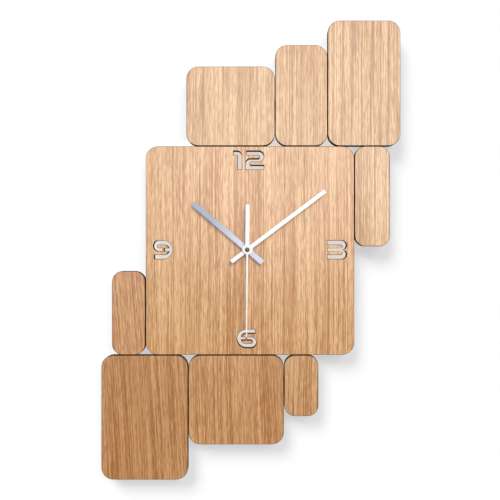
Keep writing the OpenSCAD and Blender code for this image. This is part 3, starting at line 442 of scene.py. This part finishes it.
def build_scorched_cut(tree, given):
    """Cut marks across the board's thickness, with the face veneers a little paler."""
    vector = given["Vector"]
    marks = noise(tree, vector, CUT_MARKS, 3.0)
    soot = noise(tree, vector, SOOT)
    amount = weighted(tree, (marks, 0.6), (soot, 0.4))
    colour_now = blended(tree, ramped(tree, amount, (0.38, 0.62)), given["Char"], given["Brown"])
    depth = parts_of(tree, vector)["Y"]
    inner, outer = FACE_VENEER + VENEER_BLUR, FACE_VENEER - VENEER_BLUR
    front = ramped(tree, depth, (FRONT_Y + inner, FRONT_Y + outer))
    back = ramped(tree, depth, (BACK_Y - inner, BACK_Y - outer))
    veneer = times(tree, largest(tree, front, back), 0.5)
    colour_now = blended(tree, veneer, colour_now, given["Brown"])
    roughness = ramped(tree, marks, (0.3, 0.7), (0.62, 0.82))
    return {"Color": colour_now, "Roughness": roughness, "Height": marks}


def scorched_cut():
    """The group for the panels' edges."""
    inputs = {"Vector": "vector", "Brown": "colour", "Char": "colour"}
    return shader_group("Scorched cut", inputs, build_scorched_cut)


def build_pressed_board(tree, given):
    """Fine fibres pressed into a board."""
    vector = given["Vector"]
    flecks = noise(tree, vector, FLECKS, 3.0, 0.6)
    clouds = noise(tree, vector, CLOUDS, 3.0)
    amount = weighted(tree, (flecks, 0.88), (clouds, 0.12))
    darker = blended(tree, 0.45, given["Tint"], BLACK)
    lighter = blended(tree, 0.20, given["Tint"], WHITE)
    colour_now = blended(tree, ramped(tree, amount, (0.34, 0.66)), darker, lighter)
    roughness = ramped(tree, flecks, (0.3, 0.7), (0.70, 0.88))
    return {"Color": colour_now, "Roughness": roughness, "Height": flecks}


def pressed_board():
    """The group for the panels' backs."""
    return shader_group("Pressed board", {"Vector": "vector", "Tint": "colour"}, build_pressed_board)


def build_worked_metal(tree, given):
    """Faint mottling, rubbed lines and dull spots on metal."""
    vector = given["Vector"]
    mottle = noise(tree, vector, MOTTLE, 3.0)
    lines = noise(tree, vector, RUBBED_LINES)
    dull = ramped(tree, noise(tree, vector, DULL_SPOTS), (0.50, 0.72))
    amount = weighted(tree, (mottle, 0.5), (lines, 0.5))
    darker = blended(tree, 0.35, given["Tint"], BLACK)
    colour_now = blended(tree, ramped(tree, amount, (0.25, 0.60)), darker, given["Tint"])
    colour_now = blended(tree, times(tree, dull, 0.35), colour_now, darker)
    roughness = sum_of(tree, ramped(tree, lines, (0.3, 0.7), (-0.05, 0.07)), times(tree, dull, 0.10))
    return {"Color": colour_now, "Roughness": sum_of(tree, given["Roughness"], roughness), "Height": amount}


def worked_metal():
    """The group for zinc, brass, steel, iron and copper."""
    inputs = {"Vector": "vector", "Tint": "colour", "Roughness": "value"}
    return shader_group("Worked metal", inputs, build_worked_metal)


def handled(tree, roughness, marks):
    """The roughness with handling marks in it."""
    return sum_of(tree, roughness, ramped(tree, marks, (0.35, 0.65), (-0.05, 0.05)))


def build_moulded_skin(tree, given):
    """Fine skin of a moulded or lacquered surface, with faint handling marks."""
    vector = given["Vector"]
    skin = noise(tree, vector, SKIN)
    marks = noise(tree, vector, HANDLING, 3.0)
    darker = blended(tree, given["Variation"], given["Tint"], BLACK)
    amount = weighted(tree, (skin, 0.4), (marks, 0.6))
    colour_now = blended(tree, ramped(tree, amount, (0.35, 0.65)), darker, given["Tint"])
    roughness = handled(tree, given["Roughness"], marks)
    return {"Color": colour_now, "Roughness": roughness, "Height": skin}


def moulded_skin():
    """The group for plastics, rubber and plain lacquer."""
    inputs = {"Vector": "vector", "Tint": "colour", "Variation": "value", "Roughness": "value"}
    return shader_group("Moulded skin", inputs, build_moulded_skin)


def build_hand_painted_sheen(tree, given):
    """Thin lacquer with a painted reflection: paler towards the hub and darker towards the tip."""
    vector = given["Vector"]
    hub = (DIAL_MIDDLE.x, FRONT_Y, DIAL_MIDDLE.z)
    reach = put(tree, "ShaderNodeVectorMath", {0: vector, 1: hub}, operation="DISTANCE").outputs["Value"]
    colour_now = blended(tree, ramped(tree, reach, (HUB_REACH, TIP_REACH)), given["Hub"], given["Tip"])
    roughness = handled(tree, given["Roughness"], noise(tree, vector, HANDLING, 3.0))
    return {"Color": colour_now, "Roughness": roughness, "Height": noise(tree, vector, SKIN)}


def hand_painted_sheen():
    """The group for the hour hand's painted sheen."""
    inputs = {"Vector": "vector", "Hub": "colour", "Tip": "colour", "Roughness": "value"}
    return shader_group("Hand lacquer painted sheen", inputs, build_hand_painted_sheen)


def in_view(tree, path):
    """1 for the rays that show a background: seen directly, in gloss or through something clear."""
    return largest(tree, path["Is Camera Ray"], path["Is Glossy Ray"], path["Is Transmission Ray"])


# Materials

def rgba(value, tint=WHITE):
    """The colour times the tint, with full alpha."""
    return (*[part * much for part, much in zip(value, tint)], 1.0)


def finish(name, group, values, shader, bump, shift=(0.0, 0.0, 0.0), turn=(0.0, 0.0, 0.0), coated=False):
    """A material whose colour, roughness and relief come from a node group in Object coordinates."""
    material = bpy.data.materials.new(name)
    material.use_nodes = True
    tree = material.node_tree
    surface = tree.nodes["Principled BSDF"]
    for label, value in shader.items():
        surface.inputs[label].default_value = value
    place = put(tree, "ShaderNodeTexCoord").outputs["Object"]
    if any(shift) or any(turn):
        mapping = {"Vector": place, "Location": shift, "Rotation": turn}
        place = put(tree, "ShaderNodeMapping", mapping).outputs[0]
    look = put(tree, "ShaderNodeGroup", node_tree=group)
    tree.links.new(place, look.inputs["Vector"])
    for label, value in values.items():
        look.inputs[label].default_value = value
    tree.links.new(look.outputs["Color"], surface.inputs["Base Color"])
    tree.links.new(look.outputs["Roughness"], surface.inputs["Roughness"])
    if coated:
        tree.links.new(look.outputs["Coat"], surface.inputs["Coat Weight"])
    amount, depth = bump
    relief = {"Strength": amount, "Distance": depth, "Height": look.outputs["Height"]}
    tree.links.new(put(tree, "ShaderNodeBump", relief).outputs["Normal"], surface.inputs["Normal"])
    return material


def oak_veneer(node, look):
    """The panel's own cut of satin lacquered oak."""
    # The tint carries painted light and shade as well as the veneer's own tone
    shift, tint, rings, lean = VENEERS[node]
    values = {
        "Light": rgba(look.oak_light, tint),
        "Dark": rgba(look.oak_dark, tint),
        "Blush": rgba(look.oak_blush, tint),
        "Rings": rings,
        "Lean": lean,
        "Gloss": look.gloss,
    }
    shader = {"Specular IOR Level": 0.5, "Coat Roughness": look.gloss, "Coat IOR": 1.7}
    bump = (0.25, 0.12 * MM)
    return finish("Oak veneer " + node, wood_grain(), values, shader, bump, shift, coated=True)


def pine(name, look, turn):
    """Bare planed pine with its grain along the batten."""
    values = {
        "Light": rgba(look.pine_light),
        "Dark": rgba(look.pine_dark),
        "Blush": rgba(look.pine_light, PINE_BLUSH),
        "Rings": 0.55,
        "Lean": 0.02,
        "Gloss": 0.62,
    }
    shader = {"Specular IOR Level": 0.35}
    return finish(name, wood_grain(), values, shader, (0.4, 0.15 * MM), PINE_PLACE, turn)


def metal(name, tint, roughness):
    """Bare or plated metal."""
    values = {"Tint": rgba(tint), "Roughness": roughness}
    return finish(name, worked_metal(), values, {"Metallic": 1.0}, (0.15, 0.05 * MM))


def plastic(name, tint, roughness, variation=0.10, shine=0.5, relief=0.25):
    """Moulded plastic, rubber, resin or an even lacquer."""
    values = {"Tint": rgba(tint), "Variation": variation, "Roughness": roughness}
    return finish(name, moulded_skin(), values, {"Specular IOR Level": shine}, (relief, 0.04 * MM))


# Meshes

def added(name, data):
    """A new object in the scene."""
    thing = bpy.data.objects.new(name, data)
    bpy.context.scene.collection.objects.link(thing)
    return thing


def body_piece(node, work, materials):
    """Makes the bmesh a piece that stands for the node and rides on its body."""
    mesh = bpy.data.meshes.new(node + "_finished")
    for face in work.faces:
        face.smooth = True
    work.to_mesh(mesh)
    work.free()
    mesh.set_sharp_from_angle(angle=SHADE_ANGLE)
    for material in materials:
        mesh.materials.append(material)
    piece = added(node + "_finished", mesh)
    normals = piece.modifiers.new("Even normals", "WEIGHTED_NORMAL")
    normals.keep_sharp = True
    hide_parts(node)
    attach(piece, BODY_OF[node])
    return piece


def clear_of(edge, tips):
    """Whether the edge is far enough from every narrow tip to be rounded."""
    return all((vert.co - tip).length > TIP_ROOM for vert in edge.verts for tip in tips)


def is_tip(vert, sharp):
    """Whether two sharp edges meet here in a point that is too narrow to round."""
    ways = [edge.other_vert(vert).co - vert.co for edge in vert.link_edges if edge in sharp]
    return any(a.angle(b) < TIP_ANGLE for a, b in itertools.combinations(ways, 2))


def eased(node, width, segments=2):
    """A merged copy of the node's mesh with its sharp edges rounded."""
    work = bmesh.new()
    work.from_mesh(frame["nodes"][node].data)
    bmesh.ops.remove_doubles(work, verts=work.verts, dist=MERGE)
    bmesh.ops.dissolve_limit(work, angle_limit=FLAT_ANGLE, verts=work.verts, edges=work.edges)
    sharp = {edge for edge in work.edges if edge.is_manifold and edge.calc_face_angle() > SHARP_ANGLE}
    tips = [vert.co.copy() for vert in work.verts if is_tip(vert, sharp)]
    rounded = [edge for edge in work.edges if edge in sharp and clear_of(edge, tips)]
    bmesh.ops.bevel(
        work, geom=rounded, offset=width, offset_type="OFFSET", affect="EDGES", segments=segments,
        profile=0.5, material=-1, clamp_overlap=False,
    )
    bmesh.ops.remove_doubles(work, verts=work.verts, dist=MERGE)
    bmesh.ops.dissolve_degenerate(work, dist=MERGE, edges=work.edges)
    work.normal_update()
    return work


def lathe(profile, base, axis, closed=False):
    """A turned shape: pairs of distance along the axis and radius, spun round the axis."""
    work = bmesh.new()
    side = axis.orthogonal().normalized()
    verts = [work.verts.new(base + axis * along + side * radius) for along, radius in profile]
    edges = [work.edges.new(pair) for pair in zip(verts, verts[1:])]
    if closed:
        edges.append(work.edges.new((verts[-1], verts[0])))
    bmesh.ops.spin(
        work, geom=verts + edges, cent=base, axis=axis, dvec=(0.0, 0.0, 0.0), angle=math.tau,
        steps=LATHE_STEPS, use_merge=True,
    )
    bmesh.ops.remove_doubles(work, verts=work.verts, dist=MERGE)
    bmesh.ops.recalc_face_normals(work, faces=work.faces)
    return work


def paint(node, material):
    """Gives a node that keeps its own mesh a material."""
    thing = frame["nodes"][node]
    if not thing.material_slots:
        thing.data.materials.append(material)
    for slot in thing.material_slots:
        slot.material = material


# Operators

class CLOCK_OT_panels(bpy.types.Operator):
    """Eases the panels' edges, veneers their fronts and scorches their cut sides"""
    bl_idname = "clock.panels"
    bl_label = "Panels"

    def execute(self, context):
        look = context.scene.clock_panels
        cut_values = {"Brown": rgba(look.scorch_brown), "Char": rgba(look.scorch_char)}
        cut_shader = {"Specular IOR Level": 0.15}
        cut = finish("Scorched edge", scorched_cut(), cut_values, cut_shader, bump=(0.5, 0.1 * MM))
        board_values = {"Tint": rgba(look.board)}
        board_shader = {"Specular IOR Level": 0.3}
        board = finish("Bare board", pressed_board(), board_values, board_shader, bump=(0.4, 0.1 * MM))
        for node in VENEERS:
            work = eased(node, look.dial_round if node == "dial_panel" else look.edge_round)
            for face in work.faces:
                face.material_index = self.material_of(face)
            body_piece(node, work, (oak_veneer(node, look), cut, board))
        return {"FINISHED"}

    def material_of(self, face):
        """The slot of a panel's material for its front, its back or its cut and eased edges."""
        if face.normal.y < -FACING:
            return OAK
        if face.normal.y > FACING:
            return BARE
        return SCORCHED


class CLOCK_OT_battens(bpy.types.Operator):
    """Eases the edges of the back frame's pine battens"""
    bl_idname = "clock.battens"
    bl_label = "Battens"

    def execute(self, context):
        look = context.scene.clock_frame
        upright = pine("Pine upright", look, turn=(0.0, 0.0, 0.0))
        across = pine("Pine across", look, turn=(0.0, math.pi / 2, 0.0))
        for node in UPRIGHTS + CROSS_BATTENS:
            work = eased(node, look.batten_round)
            body_piece(node, work, (upright if node in UPRIGHTS else across,))
        return {"FINISHED"}


class CLOCK_OT_fixings(bpy.types.Operator):
    """Finishes the screws, the hanger plate, the wall pads and the rubber washer"""
    bl_idname = "clock.fixings"
    bl_label = "Fixings"

    def execute(self, context):
        look = context.scene.clock_frame
        zinc = metal("Zinc plate", look.zinc, roughness=0.34)
        rubber = plastic("Pad rubber", look.rubber, roughness=0.78, variation=0.30, shine=0.3, relief=0.6)
        for node in ("rail_screws", "hanger_screws"):
            body_piece(node, eased(node, look.screw_round, segments=1), (zinc,))
        body_piece("hanger_plate", eased("hanger_plate", look.plate_round), (zinc,))
        body_piece("wall_pads", eased("wall_pads", look.pad_round, segments=3), (rubber,))
        body_piece("rubber_washer", eased("rubber_washer", look.plate_round), (rubber,))
        return {"FINISHED"}


class CLOCK_OT_movement(bpy.types.Operator):
    """Finishes the movement's case, cover, knob, bushing, washer and nuts"""
    bl_idname = "clock.movement"
    bl_label = "Movement case"

    def execute(self, context):
        look = context.scene.clock_movement
        case = plastic("Housing plastic", look.case, roughness=0.48, variation=0.25, relief=0.5)
        knob = plastic("Knob plastic", look.knob, roughness=0.42)
        brass = metal("Brass", look.brass, roughness=0.24)
        body_piece("movement_case", eased("movement_case", look.case_round), (case,))
        body_piece("movement_cover", eased("movement_cover", look.case_round), (case,))
        body_piece("setting_knob", eased("setting_knob", look.knob_round), (knob,))
        for node in ("dial_washer", "hex_nut", "hour_hand_collet", "minute_hand_nut"):
            body_piece(node, eased(node, look.nut_round), (brass,))
        paint("second_hand_pipe", brass)
        body_piece("threaded_bushing", self.threaded(look.thread_pitch), (brass,))
        return {"FINISHED"}

    def threaded(self, pitch):
        """The bushing turned with its flange and a thread up to its top."""
        low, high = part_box("threaded_bushing")
        middle = (low + high) / 2
        base = Vector((middle.x, high.y, middle.z))
        top = high.y - low.y
        flange_r = (high.x - low.x) / 2
        root_r = THREAD_R - THREAD_DEPTH * pitch
        profile = [(0.0, BORE_R), (0.0, flange_r), (FLANGE_T, flange_r), (FLANGE_T, root_r)]
        along = FLANGE_T + THREAD_START * pitch
        while along + pitch < top:
            profile += [(along, root_r), (along + THREAD_CREST * pitch, THREAD_R)]
            along += pitch
        profile += [(along, root_r), (top, root_r), (top, BORE_R)]
        return lathe(profile, base, OUT_OF_WALL, closed=True)


class CLOCK_OT_battery(bpy.types.Operator):
    """Turns the battery and finishes its contacts"""
    bl_idname = "clock.battery"
    bl_label = "Battery"

    def execute(self, context):
        look = context.scene.clock_movement
        steel = metal("Contact steel", look.steel, roughness=0.28)
        jacket = plastic("Battery jacket", look.jacket, roughness=0.32, relief=0.1)
        band = plastic("Battery band", look.jacket_band, roughness=0.32, variation=0.08, relief=0.1)
        paint("battery_contact_plus", steel)
        paint("battery_contact_minus", steel)
        work = self.cell()
        low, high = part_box("battery")
        band_x = low.x + BAND_START * (high.x - low.x)
        bare_r = BARE_END * (high.z - low.z) / 2
        axis_y, axis_z = (low.y + high.y) / 2, (low.z + high.z) / 2
        for face in work.faces:
            middle = face.calc_center_median()
            if math.hypot(middle.y - axis_y, middle.z - axis_z) < bare_r:
                face.material_index = STEEL
            elif middle.x > band_x:
                face.material_index = BAND
            else:
                face.material_index = JACKET
        body_piece("battery", work, (jacket, band, steel))
        return {"FINISHED"}

    def cell(self):
        """The cell turned from its base rim, jacket with turned-in ends, shoulder and button."""
        low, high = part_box("battery")
        base = Vector((low.x, (low.y + high.y) / 2, (low.z + high.z) / 2))
        r = (high.z - low.z) / 2
        span = high.x - low.x
        shoulder = span - BUTTON_HEIGHT
        button_r = BUTTON_SHARE * r
        base_rim = [(0.25 * MM, 0.0), (0.25 * MM, 0.60 * r), (0.0, 0.66 * r), (0.0, 0.84 * r)]
        jacket = [
            (0.12 * MM, 0.90 * r), (0.35 * MM, 0.965 * r), (0.80 * MM, r), (0.5 * span, r),
            ((BAND_START - BAND_LINE) * span, r), (BAND_START * span, r), (shoulder - 0.9 * MM, r),
            (shoulder - 0.4 * MM, 0.965 * r), (shoulder - 0.15 * MM, 0.90 * r),
        ]
        plus_end = [
            (shoulder - 0.15 * MM, 0.80 * r), (shoulder, 0.76 * r), (shoulder, 0.48 * r),
            (shoulder - 0.2 * MM, 0.44 * r), (shoulder - 0.2 * MM, button_r),
        ]
        button = [
            (span - 0.25 * MM, button_r), (span - 0.07 * MM, 0.92 * button_r),
            (span, 0.78 * button_r), (span, 0.0),
        ]
        return lathe(base_rim + jacket + plus_end + button, base, TO_THE_RIGHT)


class CLOCK_OT_works(bpy.types.Operator):
    """Gives the electronics, the stepping motor and the wheels their materials"""
    bl_idname = "clock.works"
    bl_label = "Works"

    def execute(self, context):
        look = context.scene.clock_movement
        nylon = plastic("Wheel nylon", look.wheel, roughness=0.44)
        steel = metal("Arbor steel", look.steel, roughness=0.20)
        iron = metal("Soft iron", look.iron, roughness=0.42)
        copper = metal("Winding copper", look.copper, roughness=0.30)
        resist = plastic("Board resist", look.board, roughness=0.30, variation=0.30)
        resin = plastic("Chip resin", look.case, roughness=0.22, variation=0.20)
        finishes = {
            nylon: (
                "coil_bobbin", "train_bridge", "rotor_pinion", "intermediate_wheel", "seconds_wheel",
                "third_wheel", "minute_wheel", "motion_wheel", "hour_wheel",
            ),
            steel: ("seconds_arbor", "quartz_crystal"),
            iron: ("stator", "coil_core", "rotor_magnet"),
            copper: ("coil_winding",),
            resist: ("circuit_board",),
            resin: ("clock_chip",),
        }
        for material, nodes in finishes.items():
            for node in nodes:
                paint(node, material)
        return {"FINISHED"}


class CLOCK_OT_hands(bpy.types.Operator):
    """Lacquers the hands, paints a sheen on the hour hand and turns the second hand's cap"""
    bl_idname = "clock.hands"
    bl_label = "Hands"

    def execute(self, context):
        look = context.scene.clock_hands
        white = plastic("White lacquer", look.white, roughness=0.34, variation=0.02, relief=0.08)
        # The hour hand's grey is a painted reflection, paler round the hub
        grey_values = {"Hub": rgba(look.grey_hub_painted_sheen), "Tip": rgba(look.grey_tip), "Roughness": 0.34}
        grey_shader = {"Specular IOR Level": 0.6}
        grey = finish("Grey lacquer", hand_painted_sheen(), grey_values, grey_shader, bump=(0.08, 0.04 * MM))
        cap = plastic("Cap plastic", look.cap, roughness=0.30, variation=0.15, relief=0.15)
        for node, lacquer in (("hour_hand", grey), ("minute_hand", white), ("second_hand", white)):
            body_piece(node, eased(node, look.edge_round), (lacquer,))
        body_piece("second_hand_cap", self.cap(), (cap,))
        return {"FINISHED"}

    def cap(self):
        """A low dome on a short rim."""
        low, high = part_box("second_hand_cap")
        r = (high.x - low.x) / 2
        tall = high.y - low.y
        base = Vector(((low.x + high.x) / 2, high.y, (low.z + high.z) / 2))
        rim = [(0.0, 0.0), (0.0, 0.96 * r), (0.06 * tall, r), (0.52 * tall, r)]
        dome = [
            (0.70 * tall, 0.96 * r), (0.84 * tall, 0.86 * r), (0.94 * tall, 0.66 * r),
            (0.985 * tall, 0.38 * r), (tall, 0.0),
        ]
        return lathe(rim + dome, base, OUT_OF_WALL)


class CLOCK_OT_stage(bpy.types.Operator):
    """Sets up the wall, the floor, the lamps and the camera"""
    bl_idname = "clock.stage"
    bl_label = "Stage"

    def execute(self, context):
        look = context.scene.clock_stage
        scene = context.scene
        scene.view_settings.view_transform = "Standard"
        raised = Matrix.Translation((0.0, WALL_Y, FLOOR_Z + WALL_HALF))
        upright = raised @ Matrix.Rotation(math.pi / 2, 4, "X")
        level = Matrix.Translation((0.0, 0.0, FLOOR_Z))
        wall = self.plane("wall", WALL_HALF, upright, self.wall_paint(look))
        self.plane("floor", FLOOR_HALF, level, self.floor_paint(look))
        self.sun("key", KEY_WAY, look.key, look.key_spread)
        wall_key = self.sun("wall_key", WALL_KEY_WAY, look.wall_key, look.wall_spread)
        alone = bpy.data.collections.new("wall alone")
        alone.objects.link(wall)
        wall_key.light_linking.receiver_collection = alone
        softbox = self.lamp("softbox", SOFTBOX_PLACE, SOFTBOX_SIZE, look.softbox)
        softbox.visible_diffuse = False
        self.lamp("rear_lamp", REAR_LAMP_PLACE, REAR_LAMP_SIZE, look.rear_lamp)
        self.sky(scene, look)
        scene.camera = self.camera(look)
        return {"FINISHED"}

    def plane(self, name, half, place, material):
        """A square of the stage."""
        work = bmesh.new()
        bmesh.ops.create_grid(work, x_segments=1, y_segments=1, size=half, matrix=place)
        mesh = bpy.data.meshes.new(name)
        work.to_mesh(mesh)
        work.free()
        mesh.materials.append(material)
        thing = added(name, mesh)
        return thing

    def wall_paint(self, look):
        """White wall that keeps its shadow, with a painted glow behind the dial, and lets light and views
        from behind through.
        """
        material = bpy.data.materials.new("Wall paint")
        material.use_nodes = True
        tree = material.node_tree
        tree.nodes.remove(tree.nodes["Principled BSDF"])
        path = put(tree, "ShaderNodeLightPath").outputs
        # Painted light: the wall behind the dial glows paler and warmer than its deepest shadow
        shade = blended(tree, self.painted_glow_behind_dial(tree), rgba(look.wall_shade), rgba(look.wall_behind_painted_glow))
        glow = put(tree, "ShaderNodeEmission", {"Color": shade, "Strength": in_view(tree, path)}).outputs[0]
        matt = put(tree, "ShaderNodeBsdfDiffuse", {"Color": rgba(look.wall)}).outputs[0]
        front = put(tree, "ShaderNodeAddShader", {0: matt, 1: glow}).outputs[0]
        clear = put(tree, "ShaderNodeBsdfTransparent").outputs[0]
        behind = put(tree, "ShaderNodeNewGeometry").outputs["Backfacing"]
        unseen = largest(tree, behind, path["Is Shadow Ray"], path["Is Diffuse Ray"])
        surface = put(tree, "ShaderNodeMixShader", {0: unseen, 1: front, 2: clear}).outputs[0]
        tree.links.new(surface, tree.nodes["Material Output"].inputs["Surface"])
        return material

    def painted_glow_behind_dial(self, tree):
        """Mask of the painted glow: 1 on the wall behind the dial and the gaps above it, and 0 round them.
        """
        place = put(tree, "ShaderNodeTexCoord").outputs["Object"]
        values = {0: place, 1: DIAL_MIDDLE}
        from_middle = put(tree, "ShaderNodeVectorMath", values, operation="SUBTRACT").outputs[0]
        parts = parts_of(tree, from_middle)
        sideways = put(tree, "ShaderNodeMath", {0: parts["X"]}, operation="ABSOLUTE").outputs[0]
        inside = ramped(tree, sideways, (DIAL_HALF + DIAL_BLUR, DIAL_HALF - DIAL_BLUR))
        below = ramped(tree, parts["Z"], (DIAL_HALF + GAP_OUTER, DIAL_HALF + GAP_INNER))
        above = ramped(tree, parts["Z"], (-DIAL_HALF - DIAL_BLUR, -DIAL_HALF + DIAL_BLUR))
        return times(tree, inside, times(tree, below, above))

    def floor_paint(self, look):
        """Pale matt floor."""
        return plastic("Floor paint", look.floor, roughness=0.7, variation=0.06, shine=0.2, relief=0.1)

    def sun(self, name, way, energy, angle):
        """An even light from one side, wide enough for soft shadows."""
        data = bpy.data.lights.new(name, "SUN")
        data.energy = energy
        data.angle = angle
        thing = added(name, data)
        thing.rotation_euler = way.to_track_quat("-Z", "Y").to_euler()
        thing.visible_glossy = False
        return thing

    def lamp(self, name, place, size, watts):
        """A rectangular soft lamp that faces the middle of the clock's front."""
        data = bpy.data.lights.new(name, "AREA")
        data.shape = "RECTANGLE"
        data.size, data.size_y = size
        data.energy = watts
        thing = added(name, data)
        thing.location = Vector((0.0, FRONT_Y, CLOCK_MIDDLE.z)) + place
        thing.rotation_euler = (-place).to_track_quat("-Z", "Y").to_euler()
        thing.visible_camera = False
        return thing

    def sky(self, scene, look):
        """Even studio light, darker below, in surroundings that views and reflections show as pale."""
        world = bpy.data.worlds.new("studio")
        world.use_nodes = True
        tree = world.node_tree
        up = parts_of(tree, put(tree, "ShaderNodeTexCoord").outputs["Generated"])["Z"]
        lit = tree.nodes["Background"]
        tree.links.new(ramped(tree, up, SKY_HEIGHTS, SKY_LEVELS), lit.inputs["Color"])
        pale = put(tree, "ShaderNodeBackground", {"Color": rgba(look.surroundings)}).outputs[0]
        seen = in_view(tree, put(tree, "ShaderNodeLightPath").outputs)
        shown = put(tree, "ShaderNodeMixShader", {0: seen, 1: lit.outputs[0], 2: pale}).outputs[0]
        tree.links.new(shown, tree.nodes["World Output"].inputs["Surface"])
        scene.world = world

    def camera(self, look):
        """A level camera straight in front of the clock."""
        data = bpy.data.cameras.new("camera")
        data.lens = look.lens
        data.sensor_width = SENSOR_WIDTH
        thing = added("camera", data)
        thing.location = (0.0, -look.camera_distance, CAMERA_Z)
        thing.rotation_euler = (math.pi / 2, 0.0, 0.0)
        return thing


class CLOCK_PT_sidebar(bpy.types.Panel):
    """Lists the clock's settings and steps"""
    bl_idname = "CLOCK_PT_sidebar"
    bl_label = "Wall clock"
    bl_space_type = "VIEW_3D"
    bl_region_type = "UI"
    bl_category = "Wall clock"

    def draw(self, context):
        for step in STEPS:
            self.layout.operator(step.bl_idname)
        for name in SETTINGS:
            box = self.layout.box()
            group = getattr(context.scene, name)
            for setting in group.bl_rna.properties:
                if setting.identifier not in ("rna_type", "name"):
                    box.prop(group, setting.identifier)


SETTINGS = {
    "clock_panels": ClockPanelSettings,
    "clock_frame": ClockFrameSettings,
    "clock_movement": ClockMovementSettings,
    "clock_hands": ClockHandSettings,
    "clock_stage": ClockStageSettings,
}
STEPS = (
    CLOCK_OT_panels,
    CLOCK_OT_battens,
    CLOCK_OT_fixings,
    CLOCK_OT_movement,
    CLOCK_OT_battery,
    CLOCK_OT_works,
    CLOCK_OT_hands,
    CLOCK_OT_stage,
)


def register():
    """Adds the settings, the steps and the sidebar."""
    for group in SETTINGS.values():
        bpy.utils.register_class(group)
    for step in STEPS:
        bpy.utils.register_class(step)
    bpy.utils.register_class(CLOCK_PT_sidebar)
    for name, group in SETTINGS.items():
        setattr(bpy.types.Scene, name, PointerProperty(type=group))


def unregister():
    """Takes them away again."""
    for name in SETTINGS:
        delattr(bpy.types.Scene, name)
    bpy.utils.unregister_class(CLOCK_PT_sidebar)
    for group in (*reversed(STEPS), *reversed(SETTINGS.values())):
        bpy.utils.unregister_class(group)


def main():
    """Runs every step in order."""
    register()
    bpy.ops.clock.panels()
    bpy.ops.clock.battens()
    bpy.ops.clock.fixings()
    bpy.ops.clock.movement()
    bpy.ops.clock.battery()
    bpy.ops.clock.works()
    bpy.ops.clock.hands()
    bpy.ops.clock.stage()


if __name__ == "__main__":
    main()
